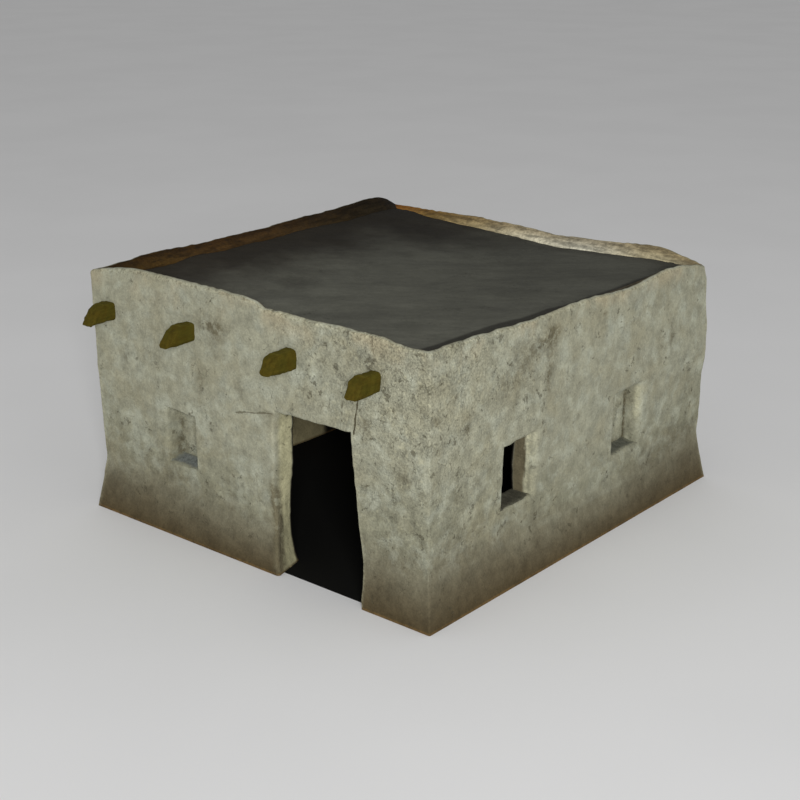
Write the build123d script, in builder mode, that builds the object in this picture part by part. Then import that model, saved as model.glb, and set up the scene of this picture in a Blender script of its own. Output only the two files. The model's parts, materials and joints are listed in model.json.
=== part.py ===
from build123d import *
import math
import os

# Adobe house: mud walls with a spread foot round one room, logs through the front and back walls,
# a pole and mud roof inside a low uneven parapet, one doorway and three small windows, two of them
# blocked. Millimetres, +Z up. The origin is on the ground under the middle of the plan, and the
# front faces -Y.

os.makedirs("parts", exist_ok=True)

# Walls
house_width = 4755
house_depth = 5130
wall_thickness = 260
wall_top = 2490
foot_spread = 95
inner_foot_spread = 60
foot_height = 570
corner_round = 60

# Doorway in the front wall, to the left of a pier at its right end
door_pier = 985
door_head_width = 1010
door_head = 1800
left_jamb_hollow = 46
left_jamb_foot = 68
right_jamb_splay = 200

# Windows: middle along the wall from its nearer end, height of the sill, width and height
front_window_middle = 1325
front_window_sill = 825
front_window_width = 470
front_window_height = 620
near_window_middle = 1437
near_window_sill = 858
near_window_width = 525
near_window_height = 690
far_window_middle = 1652
far_window_sill = 838
far_window_width = 530
far_window_height = 710
sill_thickness = 40
infill_thickness = 60

# Lintel timbers, hidden behind the plaster of the outer face
door_timbers = 3
lintel_height = 90
lintel_cover = 35
door_bearing = 300
window_bearing = 150

# Roof logs (vigas), by their middles from the left and from the right end of the front wall
vigas_from_left = (240, 1495)
vigas_from_right = (1810, 710)
viga_diameter = 220
viga_flat = 15
viga_lower_reach = 390
viga_upper_reach = 200
bedding = 0.3

# Ceiling poles across the logs
pole_diameter = 70
poles_per_bay = 14

# Mud roof, which falls to the right and sags in the middle
roof_left = 2735
roof_right = 2640
roof_sag = 60
roof_stations = 8

# Parapet: its section, and the heights of its crest going round the house from the front left
parapet_ridge = 60
parapet_foot = 210
front_crest = (2820, 2905, 2921, 2914, 2908, 2838, 2831, 2822, 2796)
right_crest = (2796, 2792, 2760, 2748, 2754, 2712, 2728, 2755, 2650)
back_crest = (2650, 2728, 2727, 2699, 2706, 2730, 2738, 2729, 2735)
left_crest = (2735, 2880, 2856, 2838, 2811, 2815, 2822, 2838, 2820)

# Derived places
left_face = -house_width / 2
right_face = house_width / 2
front_face = -house_depth / 2
back_face = house_depth / 2
door_right = right_face - door_pier
door_left = door_right - door_head_width
door_middle = (door_left + door_right) / 2
viga_middles = [left_face + middle for middle in vigas_from_left]
viga_middles += [right_face - middle for middle in vigas_from_right]
viga_axis_height = wall_top - viga_diameter / 2

# Each side of the house, seen from outside: the plane of its wall face, with x running to the
# right from the wall's left end and y upwards, and the length of the wall
sides = {
    "front": (Plane((left_face, front_face, 0), x_dir=(1, 0, 0), z_dir=(0, -1, 0)), house_width),
    "right": (Plane((right_face, front_face, 0), x_dir=(0, 1, 0), z_dir=(1, 0, 0)), house_depth),
    "back": (Plane((right_face, back_face, 0), x_dir=(-1, 0, 0), z_dir=(0, 1, 0)), house_width),
    "left": (Plane((left_face, back_face, 0), x_dir=(0, -1, 0), z_dir=(-1, 0, 0)), house_depth),
}
front_plane = sides["front"][0]
right_plane = sides["right"][0]

# Each window: the plane of its wall, its middle along the wall, sill, width and height
windows = {
    "front_window": (
        front_plane, front_window_middle, front_window_sill, front_window_width, front_window_height
    ),
    "near_side_window": (
        right_plane, near_window_middle, near_window_sill, near_window_width, near_window_height
    ),
    "far_side_window": (
        right_plane, house_depth - far_window_middle, far_window_sill, far_window_width, far_window_height
    ),
}
blocked_windows = ("front_window", "far_side_window")


def plan(height, spread):
    """Sketch the plan of the house at this height, this far outside its wall faces."""
    with BuildSketch(Plane.XY.offset(height)) as outline:
        RectangleRounded(house_width + 2 * spread, house_depth + 2 * spread, corner_round)
    return outline.sketch


def mitre(side):
    """Keep only what stands on one side of the house, cut at 45 degrees at its two corners."""
    plane, length = sides[side]
    along = plane.x_dir
    inward = -plane.z_dir
    left_end = plane.origin
    right_end = plane.origin + along * length
    split(bisect_by=Plane(left_end, z_dir=along - inward), keep=Keep.TOP)
    split(bisect_by=Plane(right_end, z_dir=-along - inward), keep=Keep.TOP)


def upright(plane, middle, bottom, width, height):
    """Sketch an upright rectangle on a wall plane, by its middle and its lower edge."""
    with BuildSketch(plane) as rectangle:
        with Locations((middle, bottom)):
            Rectangle(width, height, align=(Align.CENTER, Align.MIN))
    return rectangle.sketch


def lintel_seat(plane, middle, head, opening_width, bearing):
    """Sketch the face of a lintel over an opening, behind the plaster of the outer face."""
    return upright(plane.offset(-lintel_cover), middle, head, opening_width + 2 * bearing, lintel_height)


def cut_window(name):
    """Cut a window through its wall, with the seats of its sill and its lintel."""
    plane, middle, sill, width, height = windows[name]
    opening = upright(plane, middle, sill - sill_thickness, width, height + sill_thickness)
    extrude(opening, amount=-wall_thickness, mode=Mode.SUBTRACT)
    seat = lintel_seat(plane, middle, sill + height, width, window_bearing)
    extrude(seat, amount=lintel_cover - wall_thickness, mode=Mode.SUBTRACT)


def cut_doorway():
    """Cut the doorway, with its worn jambs, and the seat of its lintel."""
    with BuildSketch(Plane.XZ) as opening:
        with BuildLine():
            left_foot = (door_left + left_jamb_foot, 0)
            right_foot = (door_right + right_jamb_splay, 0)
            left_head = (door_left, door_head)
            right_head = (door_right, door_head)
            Line(left_foot, right_foot)
            Line(right_foot, right_head)
            Line(right_head, left_head)
            ThreePointArc(left_head, (door_left - left_jamb_hollow, door_head / 2), left_foot)
        make_face()
    extrude(opening.sketch, amount=house_depth, mode=Mode.SUBTRACT)
    seat = lintel_seat(front_plane, door_middle - left_face, door_head, door_head_width, door_bearing)
    extrude(seat, amount=lintel_cover - wall_thickness, mode=Mode.SUBTRACT)


def over_door():
    """Build the block of wall over the doorway, plain, as deep as the wall."""
    face = upright(front_plane, door_middle - left_face, door_head, door_head_width, wall_top - door_head)
    return extrude(face, amount=-wall_thickness, mode=Mode.PRIVATE)


def viga_section(middle, gap):
    """Sketch a round log, hewn flat below, this much larger all round."""
    radius = viga_diameter / 2 + gap
    with BuildSketch(Plane.XZ) as section:
        with Locations((middle, viga_axis_height)):
            Circle(radius)
        with Locations((middle, viga_axis_height - radius)):
            Rectangle(viga_diameter, 2 * viga_flat, mode=Mode.SUBTRACT)
    return section.sketch


def cut_viga_beds():
    """Cut the holes that the roof logs pass through."""
    for middle in viga_middles:
        extrude(viga_section(middle, bedding), amount=house_depth, both=True, mode=Mode.SUBTRACT)


def cut_viga_steps():
    """Cut open steps in the top of a wall for the roof logs that lie along or across its ends."""
    width = viga_diameter + 2 * bedding
    height = viga_diameter - viga_flat + bedding
    for middle in viga_middles:
        step = upright(Plane.XZ, middle, wall_top - height, width, height)
        extrude(step, amount=house_depth, both=True, mode=Mode.SUBTRACT)


def roof_level(x):
    """Give the height of the roof's surface: it falls from left to right and sags between."""
    share = (x - left_face) / house_width
    return roof_left + (roof_right - roof_left) * share - roof_sag * math.sin(math.pi * share)


def elevation(plane, length, heights):
    """Sketch an upright face from the wall top to a curve through evenly spaced heights."""
    with BuildSketch(plane) as face:
        with BuildLine():
            step = length / (len(heights) - 1)
            Spline([(index * step, height) for index, height in enumerate(heights)])
            Polyline((0, heights[0]), (0, wall_top), (length, wall_top), (length, heights[-1]))
        make_face()
    return face.sketch


def parapet(side, crest):
    """Build a parapet: upright outside, level on its ridge, sloping down to the roof inside."""
    plane, length = sides[side]
    foot_plane = plane.offset(-parapet_foot)
    step = length / (len(crest) - 1)
    places = [foot_plane.from_local_coords((index * step, 0)) for index in range(len(crest))]
    toe = [roof_level(place.X) for place in places]
    ridge = elevation(plane.offset(-parapet_ridge), length, crest)
    extrude(elevation(plane, length, crest), amount=-parapet_ridge)
    loft([ridge, elevation(foot_plane, length, toe)], ruled=True)
    mitre(side)
    extrude(plan(wall_top, 0), amount=wall_top, mode=Mode.INTERSECT)


# The four walls in one, round the room, with a foot that spreads outside and inside
with BuildPart() as wall_ring:
    loft([plan(0, foot_spread), plan(foot_height, 0), plan(wall_top, 0)], ruled=True)
    room_foot = plan(0, -wall_thickness - inner_foot_spread)
    room_waist = plan(foot_height, -wall_thickness)
    room_top = plan(wall_top, -wall_thickness)
    loft([room_foot, room_waist, room_top], ruled=True, mode=Mode.SUBTRACT)

# Front wall, in three pieces round the doorway
with BuildPart() as front_wall_left:
    add(wall_ring.part)
    mitre("front")
    cut_doorway()
    add(over_door(), mode=Mode.SUBTRACT)
    cut_window("front_window")
    cut_viga_beds()
    split(bisect_by=Plane.YZ.offset(door_middle), keep=Keep.BOTTOM)
front_wall_left.part.label = "front_wall_left"
export_step(front_wall_left.part, "parts/front_wall_left.step")

with BuildPart() as front_wall_right:
    add(wall_ring.part)
    mitre("front")
    cut_doorway()
    add(over_door(), mode=Mode.SUBTRACT)
    cut_viga_beds()
    split(bisect_by=Plane.YZ.offset(door_middle), keep=Keep.TOP)
front_wall_right.part.label = "front_wall_right"
export_step(front_wall_right.part, "parts/front_wall_right.step")

with BuildPart() as front_wall_over_door:
    add(over_door())
    cut_doorway()
    cut_viga_steps()
front_wall_over_door.part.label = "front_wall_over_door"
export_step(front_wall_over_door.part, "parts/front_wall_over_door.step")

# Side and back walls
with BuildPart() as right_wall:
    add(wall_ring.part)
    mitre("right")
    cut_window("near_side_window")
    cut_window("far_side_window")
right_wall.part.label = "right_wall"
export_step(right_wall.part, "parts/right_wall.step")

with BuildPart() as back_wall:
    add(wall_ring.part)
    mitre("back")
    cut_viga_beds()
back_wall.part.label = "back_wall"
export_step(back_wall.part, "parts/back_wall.step")

with BuildPart() as left_wall:
    add(wall_ring.part)
    mitre("left")
    cut_viga_steps()
left_wall.part.label = "left_wall"
export_step(left_wall.part, "parts/left_wall.step")

# Roof logs, whose weathered ends slope back upwards
for number, middle in enumerate(viga_middles, 1):
    with BuildPart() as viga:
        extrude(viga_section(middle, 0), amount=back_face + viga_lower_reach, both=True)
        with BuildSketch(Plane.YZ):
            with BuildLine():
                Polyline(
                    (back_face + viga_lower_reach, wall_top - viga_diameter + viga_flat),
                    (back_face + viga_lower_reach, wall_top),
                    (back_face + viga_upper_reach, wall_top),
                    close=True,
                )
            make_face()
            mirror(about=Plane.XZ)
        extrude(amount=house_width, both=True, mode=Mode.SUBTRACT)
    viga.part.label = f"viga_{number}"
    export_step(viga.part, f"parts/viga_{number}.step")

# Door lintel, timbers side by side through the thickness of the wall
timber_depth = (wall_thickness - lintel_cover) / door_timbers
for number in range(door_timbers):
    with BuildPart() as door_lintel:
        timber_plane = front_plane.offset(-number * timber_depth)
        timber_face = lintel_seat(
            timber_plane, door_middle - left_face, door_head, door_head_width, door_bearing
        )
        extrude(timber_face, amount=-timber_depth)
    door_lintel.part.label = f"door_lintel_{number + 1}"
    export_step(door_lintel.part, f"parts/door_lintel_{number + 1}.step")

# Window lintels and sills
for name, (plane, middle, sill, width, height) in windows.items():
    with BuildPart() as window_lintel:
        lintel_face = lintel_seat(plane, middle, sill + height, width, window_bearing)
        extrude(lintel_face, amount=lintel_cover - wall_thickness)
    window_lintel.part.label = f"{name}_lintel"
    export_step(window_lintel.part, f"parts/{name}_lintel.step")

    with BuildPart() as window_sill:
        extrude(upright(plane, middle, sill - sill_thickness, width, sill_thickness), amount=-wall_thickness)
    window_sill.part.label = f"{name}_sill"
    export_step(window_sill.part, f"parts/{name}_sill.step")

# Mud infill of the blocked windows, flush with the face of the wall inside the room
for name in blocked_windows:
    plane, middle, sill, width, height = windows[name]
    with BuildPart() as infill:
        infill_plane = plane.offset(infill_thickness - wall_thickness)
        extrude(upright(infill_plane, middle, sill, width, height), amount=-infill_thickness)
    infill.part.label = f"{name}_infill"
    export_step(infill.part, f"parts/{name}_infill.step")

# Ceiling poles, in a front and a back bay, lying on the logs and on the side walls
pole_pitch = (house_depth - 2 * parapet_foot - pole_diameter) / (2 * poles_per_bay - 1)
pole_length = house_width - 2 * parapet_foot
bay_middle = pole_pitch * poles_per_bay / 2
for bay, bay_y in (("front", -bay_middle), ("back", bay_middle)):
    with BuildPart() as poles:
        with BuildSketch(Plane.YZ):
            with Locations((bay_y, wall_top + pole_diameter / 2)):
                with GridLocations(pole_pitch, pole_diameter, poles_per_bay, 1):
                    Circle(pole_diameter / 2)
        extrude(amount=pole_length / 2, both=True)
    poles.part.label = f"ceiling_poles_{bay}"
    export_step(poles.part, f"parts/ceiling_poles_{bay}.step")

# Mud roof on the poles, inside the foot of the parapet
with BuildPart() as roof_mud:
    with BuildSketch(Plane.XZ):
        with BuildLine():
            underside = wall_top + pole_diameter
            station = house_width / roof_stations
            tops = [left_face + index * station for index in range(roof_stations + 1)]
            Spline([(x, roof_level(x)) for x in tops])
            Polyline(
                (left_face, roof_level(left_face)),
                (left_face, underside),
                (right_face, underside),
                (right_face, roof_level(right_face)),
            )
        make_face()
    extrude(amount=back_face, both=True)
    with BuildSketch(Plane.XY):
        Rectangle(house_width - 2 * parapet_foot, house_depth - 2 * parapet_foot)
    extrude(amount=house_depth, mode=Mode.INTERSECT)
roof_mud.part.label = "roof_mud"
export_step(roof_mud.part, "parts/roof_mud.step")

# Parapets
with BuildPart() as front_parapet:
    parapet("front", front_crest)
front_parapet.part.label = "front_parapet"
export_step(front_parapet.part, "parts/front_parapet.step")

with BuildPart() as right_parapet:
    parapet("right", right_crest)
right_parapet.part.label = "right_parapet"
export_step(right_parapet.part, "parts/right_parapet.step")

with BuildPart() as back_parapet:
    parapet("back", back_crest)
back_parapet.part.label = "back_parapet"
export_step(back_parapet.part, "parts/back_parapet.step")

with BuildPart() as left_parapet:
    parapet("left", left_crest)
left_parapet.part.label = "left_parapet"
export_step(left_parapet.part, "parts/left_parapet.step")
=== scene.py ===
"""Adobe house: mud walls, parapets, roof, logs and window fillings, with their finishes."""

import json
import math

import bpy
import numpy as np
from bpy.props import FloatProperty, FloatVectorProperty, PointerProperty
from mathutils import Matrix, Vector

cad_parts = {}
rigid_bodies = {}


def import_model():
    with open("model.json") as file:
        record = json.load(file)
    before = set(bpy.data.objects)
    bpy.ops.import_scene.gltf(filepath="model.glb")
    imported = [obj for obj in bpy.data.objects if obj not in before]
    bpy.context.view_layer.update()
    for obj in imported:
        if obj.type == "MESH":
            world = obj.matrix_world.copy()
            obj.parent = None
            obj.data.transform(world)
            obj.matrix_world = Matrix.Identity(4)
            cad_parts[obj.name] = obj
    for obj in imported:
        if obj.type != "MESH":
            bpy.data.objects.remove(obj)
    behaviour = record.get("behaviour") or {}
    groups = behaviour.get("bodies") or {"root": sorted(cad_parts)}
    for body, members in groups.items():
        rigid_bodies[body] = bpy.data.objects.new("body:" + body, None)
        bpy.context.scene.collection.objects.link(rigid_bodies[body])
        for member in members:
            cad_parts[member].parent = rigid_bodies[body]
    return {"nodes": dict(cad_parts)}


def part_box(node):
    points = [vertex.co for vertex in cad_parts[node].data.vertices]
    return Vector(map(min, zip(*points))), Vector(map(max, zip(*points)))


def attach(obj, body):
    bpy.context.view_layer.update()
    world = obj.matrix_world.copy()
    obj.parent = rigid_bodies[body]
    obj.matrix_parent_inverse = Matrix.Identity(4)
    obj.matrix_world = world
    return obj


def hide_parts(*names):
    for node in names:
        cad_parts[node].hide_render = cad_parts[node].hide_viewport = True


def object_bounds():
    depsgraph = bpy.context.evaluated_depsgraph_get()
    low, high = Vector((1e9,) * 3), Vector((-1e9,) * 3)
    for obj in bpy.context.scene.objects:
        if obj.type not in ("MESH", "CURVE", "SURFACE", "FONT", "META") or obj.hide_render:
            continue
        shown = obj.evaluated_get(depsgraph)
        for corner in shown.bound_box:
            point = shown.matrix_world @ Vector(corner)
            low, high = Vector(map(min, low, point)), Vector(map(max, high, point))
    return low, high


bl_info = {
    "name": "Adobe House",
    "version": (1, 0, 0),
    "blender": (4, 5, 0),
    "location": "View3D > Sidebar > Adobe House",
    "description": "Builds the mud walls, roof, logs and finishes of a small adobe house",
    "category": "Add Mesh",
}

for leftover in list(bpy.data.objects):
    bpy.data.objects.remove(leftover)

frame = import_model()
FRAME_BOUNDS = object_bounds()


def span(*nodes):
    """Lowest and highest corner, as arrays, of these nodes of the frame together."""
    corners = np.array([[list(corner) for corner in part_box(node)] for node in nodes])
    return corners[:, 0].min(axis=0), corners[:, 1].max(axis=0)


PLAN_LOW, PLAN_HIGH = span("front_parapet", "right_parapet", "back_parapet", "left_parapet")
WALL_TOP = float(span("left_wall")[1][2])
WALL_THICKNESS = float(PLAN_HIGH[0] - span("far_side_window_infill")[0][0])
RECESS = float(PLAN_HIGH[0] - span("far_side_window_infill")[1][0])

# Height of the crest on the walls' mesh grid, before the crest's own heights are given to it
NOMINAL_TOP = 2.80
# How far outside the wall faces the mud may reach at the foot
FOOT_LIMIT = 0.0935
# Points nearer than this to a line or a level are on it
CLOSE = 1e-6
# A value for points that are far from what is measured
FAR = 9.0


# ---------------------------------------------------------------- sizes and colours


def colour(name, description, red, green, blue):
    """A colour property whose default is given as the three usual 0 to 255 numbers."""
    default = tuple(straight(value) for value in (red, green, blue))
    return FloatVectorProperty(
        name=name, description=description, default=default, subtype="COLOR", size=3, min=0, max=1
    )


def straight(value):
    """One 0 to 255 colour number as the straight light value that shaders use."""
    share = value / 255
    return share / 12.92 if share <= 0.04045 else ((share + 0.055) / 1.055) ** 2.4


def metres(name, description, default, least, most):
    """A length property."""
    return FloatProperty(
        name=name, description=description, default=default, min=least, max=most, unit="LENGTH"
    )


class HouseSizes(bpy.types.PropertyGroup):
    """Sizes of the mud work and the logs."""

    foot_spread: metres(
        "Foot spread", "How far the foot of the walls spreads outside", FOOT_LIMIT, 0, FOOT_LIMIT)
    foot_height: metres(
        "Foot height", "Height at which the spread of the foot ends", 0.57, 0.1, 1.0)
    belly: metres(
        "Belly", "How far the walls bulge outwards at two thirds of their height", 0.022, 0, 0.04)
    unevenness: metres("Unevenness", "Usual height of the broad swells in the mud", 0.005, 0, 0.02)
    mesh_step: metres("Mesh step", "Size of the mesh on the walls and the roof", 0.028, 0.015, 0.2)
    ridge: metres("Parapet ridge", "Width of the top of the parapets", 0.055, 0.02, 0.1)
    parapet_foot: metres(
        "Parapet foot", "Where the parapets' inner slope meets the roof", 0.215, 0.1, 0.25)
    roof_sag: metres("Roof sag", "How far the roof sags between the side walls", 0.06, 0, 0.1)
    log_boxiness: FloatProperty(
        name="Log boxiness", description="2 is a round log, higher numbers are squarer",
        default=4.5, min=2, max=8,
    )


class HouseColours(bpy.types.PropertyGroup):
    """Colours of the mud, timber and slate."""

    mud: colour("Mud", "Weathered plaster of the walls", 144, 143, 124)
    # Besides washed-out patches, this colour is painted light in a band at the heads of the blind
    # windows.
    mud_chalk: colour("Chalky mud", "Washed-out cool patches", 163, 166, 150)
    mud_warm: colour("Warm mud", "Brownish patches", 136, 131, 107)
    splashed: colour("Splashed mud", "Plaster just above the damp foot", 128, 127, 108)
    drying: colour("Drying mud", "Upper border of the damp foot", 110, 106, 88)
    damp: colour("Damp mud", "Damp foot of the walls", 89, 82, 64)
    foot: colour("Foot", "Darkest mud at the ground", 72, 61, 40)
    foot_line: colour("Foot line", "Ochre earth at the very foot", 112, 88, 52)
    hairline: colour("Hairlines", "Dirt in hairline cracks and pits", 78, 73, 56)
    # Besides stains, this colour is painted shade in the blind windows' recesses: down their inner
    # corners and along their panels' edges.
    stain_and_shade: colour("Smudges", "Dull stains on the plaster", 96, 90, 70)
    # Besides wear, this cream is a painted highlight on the doorway's right jamb and on the far
    # reveals of the side windows, where light catches their edges.
    cream: colour("Worn mud", "Cream-coloured mud on worn edges", 180, 177, 149)
    crest_tan: colour("Crest", "Sandy mud along the crests", 158, 147, 120)
    reveal: colour("Reveal", "Greenish cream mud of the doorway's left reveal", 164, 160, 127)
    # Inside the open window this brown is partly dirt and partly painted shade.
    inner_reveal_dirt_and_shade: colour("Inner reveal", "Brown mud inside the open window", 92, 85, 66)
    room: colour("Room mud", "Mud of the left wall inside the room", 160, 150, 114)
    # This near-black colour is painted shade on the room's other walls, at the inner ends of the
    # reveals and along the roof's right edge; it is also the colour of dark blots on the parapets'
    # slopes.
    soot_and_shade: colour("Soot", "Sooty mud on the room's other walls", 26, 23, 18)
    roof_grey: colour("Roof mud", "Smoothed mud of the roof", 86, 86, 77)
    roof_brown: colour("Roof stain", "Brown stain by the left and back walls", 41, 37, 29)
    log_olive: colour("Log", "Weathered olive-brown wood of the roof logs", 69, 63, 20)
    log_rust: colour("Log tip", "Rusty tone towards the ends of the logs", 74, 60, 17)
    # Painted light: the logs' tops are given a lighter colour so that, though less lit, they match
    # the sides.
    log_top_painted_light: colour("Log top", "Bleached tops of the roof logs", 80, 73, 27)
    log_dark: colour("Log dark", "Dark grain and knots of the timber", 40, 34, 13)
    pole_brown: colour("Poles", "Peeled poles of the ceiling", 96, 80, 54)
    lintel_brown: colour("Lintels", "Hewn timber over the openings", 84, 70, 50)
    # A darker copy of the slate: painted shade for the open window's sill, which lies deeper in
    # shade.
    slate: colour("Slate", "Window sills", 68, 66, 55)
    slate_grey: colour("Grey slate", "Slate of the far side window's sill", 86, 87, 77)
    slate_blue: colour("Blue slate", "Bluish slate of the front window's sill", 106, 110, 106)


def sizes():
    """The sizes set in the file."""
    return bpy.context.scene.adobe_house_sizes


def colours():
    """The colours set in the file."""
    return bpy.context.scene.adobe_house_colours


# ---------------------------------------------------------------- shapes as arrays


def ease(low, high, value):
    """0 below low, 1 above high and an S-shaped rise between them."""
    share = np.clip((value - low) / (high - low), 0, 1)
    return share * share * (3 - 2 * share)


def hill(value, middle, width):
    """A bell-shaped hill of height 1."""
    return np.exp(-(((value - middle) / width) ** 2))


def fall(distance, reach):
    """1 at no distance, falling evenly to 0 at the reach."""
    return np.clip(1 - distance / reach, 0, 1)


def on(value, place):
    """Where a value is on a line or a level."""
    return np.abs(value - place) < CLOSE


def swell(points, seed, shortest, longest, height, waves=30):
    """Smooth unevenness: a sum of flat waves, each with its own direction, length and start."""
    rng = np.random.default_rng(seed)
    directions = rng.normal(size=(waves, 3))
    directions /= np.linalg.norm(directions, axis=1, keepdims=True)
    lengths = shortest * (longest / shortest) ** rng.random(waves)
    starts = rng.random(waves) * 2 * np.pi
    turns = points @ (directions * (2 * np.pi / lengths)[:, None]).T + starts
    return height * np.sqrt(2 / waves) * np.sin(turns).sum(axis=-1)


def smooth_run(values, share):
    """Evenly spaced values joined by a smooth curve (Catmull-Rom), read at a share of the run."""
    values = np.asarray(values, float)
    ends = [2 * values[0] - values[1]], [2 * values[-1] - values[-2]]
    padded = np.concatenate([ends[0], values, ends[1]])
    place = np.clip(share, 0, 1) * (len(values) - 1)
    first = np.minimum(place.astype(int), len(values) - 2)
    part = place - first
    a, b, c, d = (padded[first + n] for n in range(4))
    square, cube = 2 * a - 5 * b + 4 * c - d, 3 * b - a - 3 * c + d
    return 0.5 * (2 * b + (c - a) * part + square * part**2 + cube * part**3)


def lines(start, end, edges, step, collar=(0.0, 0.004, 0.010, 0.018, 0.030)):
    """Places of mesh lines: an even step, closing up in a collar on both sides of each edge."""
    even = np.linspace(start, end, round((end - start) / step) + 1)
    if not len(edges):
        return even
    edges = np.asarray(edges, float)
    side = np.concatenate([-np.array(collar), np.array(collar)])
    close = (edges[:, None] + side).ravel()
    gap = np.abs(even[:, None] - edges).min(axis=1)
    free = gap > collar[-1] + step * 0.4
    free[[0, -1]] = True
    places = np.concatenate([even[free], close[(close > start) & (close < end)]])
    return np.unique(np.round(places, 5))


def sheet_faces(rows, columns, kept, flip=False, first=0):
    """The four corners of every kept cell of a grid of points."""
    index = np.arange(rows * columns).reshape(rows, columns) + first
    corners = (index[:-1, :-1], index[1:, :-1], index[1:, 1:], index[:-1, 1:])
    faces = np.stack(corners, axis=-1)[kept]
    return faces[:, ::-1] if flip else faces


def open_edges(kept):
    """Directed edges along which a grid's kept cells stop, ready for faces that turn the edge."""
    rows, columns = kept.shape[0] + 1, kept.shape[1] + 1
    index = np.arange(rows * columns).reshape(rows, columns)
    along = np.pad(kept, ((0, 0), (1, 1)))
    below, above = along[:, :-1], along[:, 1:]
    start, stop = index[:-1, :], index[1:, :]
    only_above, only_below = above & ~below, below & ~above
    up = np.pad(kept, ((1, 1), (0, 0)))
    left, right = up[:-1, :], up[1:, :]
    low, high = index[:, :-1], index[:, 1:]
    only_right, only_left = right & ~left, left & ~right
    pairs = [
        (stop[only_above], start[only_above]),
        (start[only_below], stop[only_below]),
        (low[only_right], high[only_right]),
        (high[only_left], low[only_left]),
    ]
    return np.concatenate([np.stack(pair, axis=-1) for pair in pairs])


def shell(outer, inner, kept, layers, shape_edge=None):
    """Closed shell between two sheets of points on the same grid. Every edge at which the kept
    cells stop, outside or round an opening, is closed by strips of faces from sheet to sheet.
    shape_edge(points, share, number) bends those strips; share runs from 0 outside to 1 inside."""
    rows, columns = outer.shape[:2]
    count = rows * columns
    edges = open_edges(kept)
    rim = np.unique(edges)
    place = np.full(count, -1)
    place[rim] = np.arange(len(rim))
    flat_outer, flat_inner = outer.reshape(-1, 3), inner.reshape(-1, 3)
    share = (np.arange(1, layers) / layers)[:, None, None]
    strips = flat_outer[rim] * (1 - share) + flat_inner[rim] * share
    if shape_edge is not None:
        strips = shape_edge(strips, share[..., 0], rim)
    points = np.concatenate([flat_outer, flat_inner, strips.reshape(-1, 3)])
    levels = [edges]
    for level in range(layers - 1):
        levels.append(place[edges] + 2 * count + level * len(rim))
    levels.append(edges + count)
    sides = [
        np.stack([a[:, 0], a[:, 1], b[:, 1], b[:, 0]], axis=-1) for a, b in zip(levels, levels[1:])
    ]
    faces = np.concatenate(
        [sheet_faces(rows, columns, kept), sheet_faces(rows, columns, kept, True, count)] + sides
    )
    depth = np.concatenate([np.zeros(count), np.ones(count), np.repeat(share.ravel(), len(rim))])
    source = np.concatenate([np.arange(count), np.arange(count), np.tile(rim, layers - 1)])
    return points, faces, depth, source


# Edges that turn by more than this are sharp: those at the mitres
SHARP_FROM = math.radians(100)


def make_piece(name, points, faces, finish, nodes, values=None):
    """A mesh object from a list of face arrays, with unused points left out, its finish, its place
    in the frame and its extra values for the finish. Faces are smooth, but sharp at the mitres."""
    used = np.unique(np.concatenate([part.ravel() for part in faces]))
    renumber = np.zeros(len(points), int)
    renumber[used] = np.arange(len(used))
    mesh = bpy.data.meshes.new(name)
    corners = [face for part in faces for face in renumber[part].tolist()]
    mesh.from_pydata(points[used].tolist(), [], corners)
    mesh.polygons.foreach_set("use_smooth", np.ones(len(mesh.polygons), bool))
    mesh.set_sharp_from_angle(angle=SHARP_FROM)
    for key, value in (values or {}).items():
        kind = "FLOAT" if value.ndim == 1 else "FLOAT_COLOR"
        layer = mesh.attributes.new(key, kind, "POINT")
        numbers = value[used].ravel().astype(np.float32)
        layer.data.foreach_set("value" if value.ndim == 1 else "color", numbers)
    mesh.update()
    mesh.materials.append(finish)
    piece = bpy.data.objects.new(name, mesh)
    bpy.context.scene.collection.objects.link(piece)
    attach(piece, "root")
    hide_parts(*nodes)
    return piece


def make_slab(name, outer, inner, layers, finish, node, values=None):
    """A piece closed between two whole sheets on one grid, with values given over that grid."""
    kept = np.ones((outer.shape[0] - 1, outer.shape[1] - 1), bool)
    points, faces, _, source = shell(outer, inner, kept, layers)
    over_grid = 0 * outer[..., 0]
    values = {key: (value + over_grid).ravel()[source] for key, value in (values or {}).items()}
    return make_piece(name, points, [faces], finish, (node,), values)


# ---------------------------------------------------------------- the four walls


# Each wall seen from outside: its left end, the way along it, and the way into the house
CORNERS = {
    "front": ((PLAN_LOW[0], PLAN_LOW[1]), (1, 0), (0, 1)),
    "right": ((PLAN_HIGH[0], PLAN_LOW[1]), (0, 1), (-1, 0)),
    "back": ((PLAN_HIGH[0], PLAN_HIGH[1]), (-1, 0), (0, -1)),
    "left": ((PLAN_LOW[0], PLAN_HIGH[1]), (0, -1), (1, 0)),
}

# Heights of the parapets' crests at even steps along each wall, from its left end seen outside
CRESTS = {
    "front": (2.808, 2.866, 2.912, 2.920, 2.921, 2.917, 2.914, 2.914, 2.902, 2.838, 2.836, 2.823,
              2.831, 2.827, 2.824, 2.790, 2.797),
    "right": (2.797, 2.800, 2.792, 2.777, 2.761, 2.746, 2.746, 2.757, 2.754, 2.737, 2.714, 2.706,
              2.731, 2.756, 2.742, 2.692, 2.638),
    "back": (2.638, 2.694, 2.757, 2.752, 2.730, 2.714, 2.702, 2.690, 2.711, 2.728, 2.730, 2.741,
             2.738, 2.732, 2.728, 2.729, 2.732),
    "left": (2.732, 2.866, 2.882, 2.870, 2.856, 2.848, 2.844, 2.834, 2.822, 2.825, 2.826, 2.822,
             2.830, 2.847, 2.838, 2.814, 2.808),
}


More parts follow.
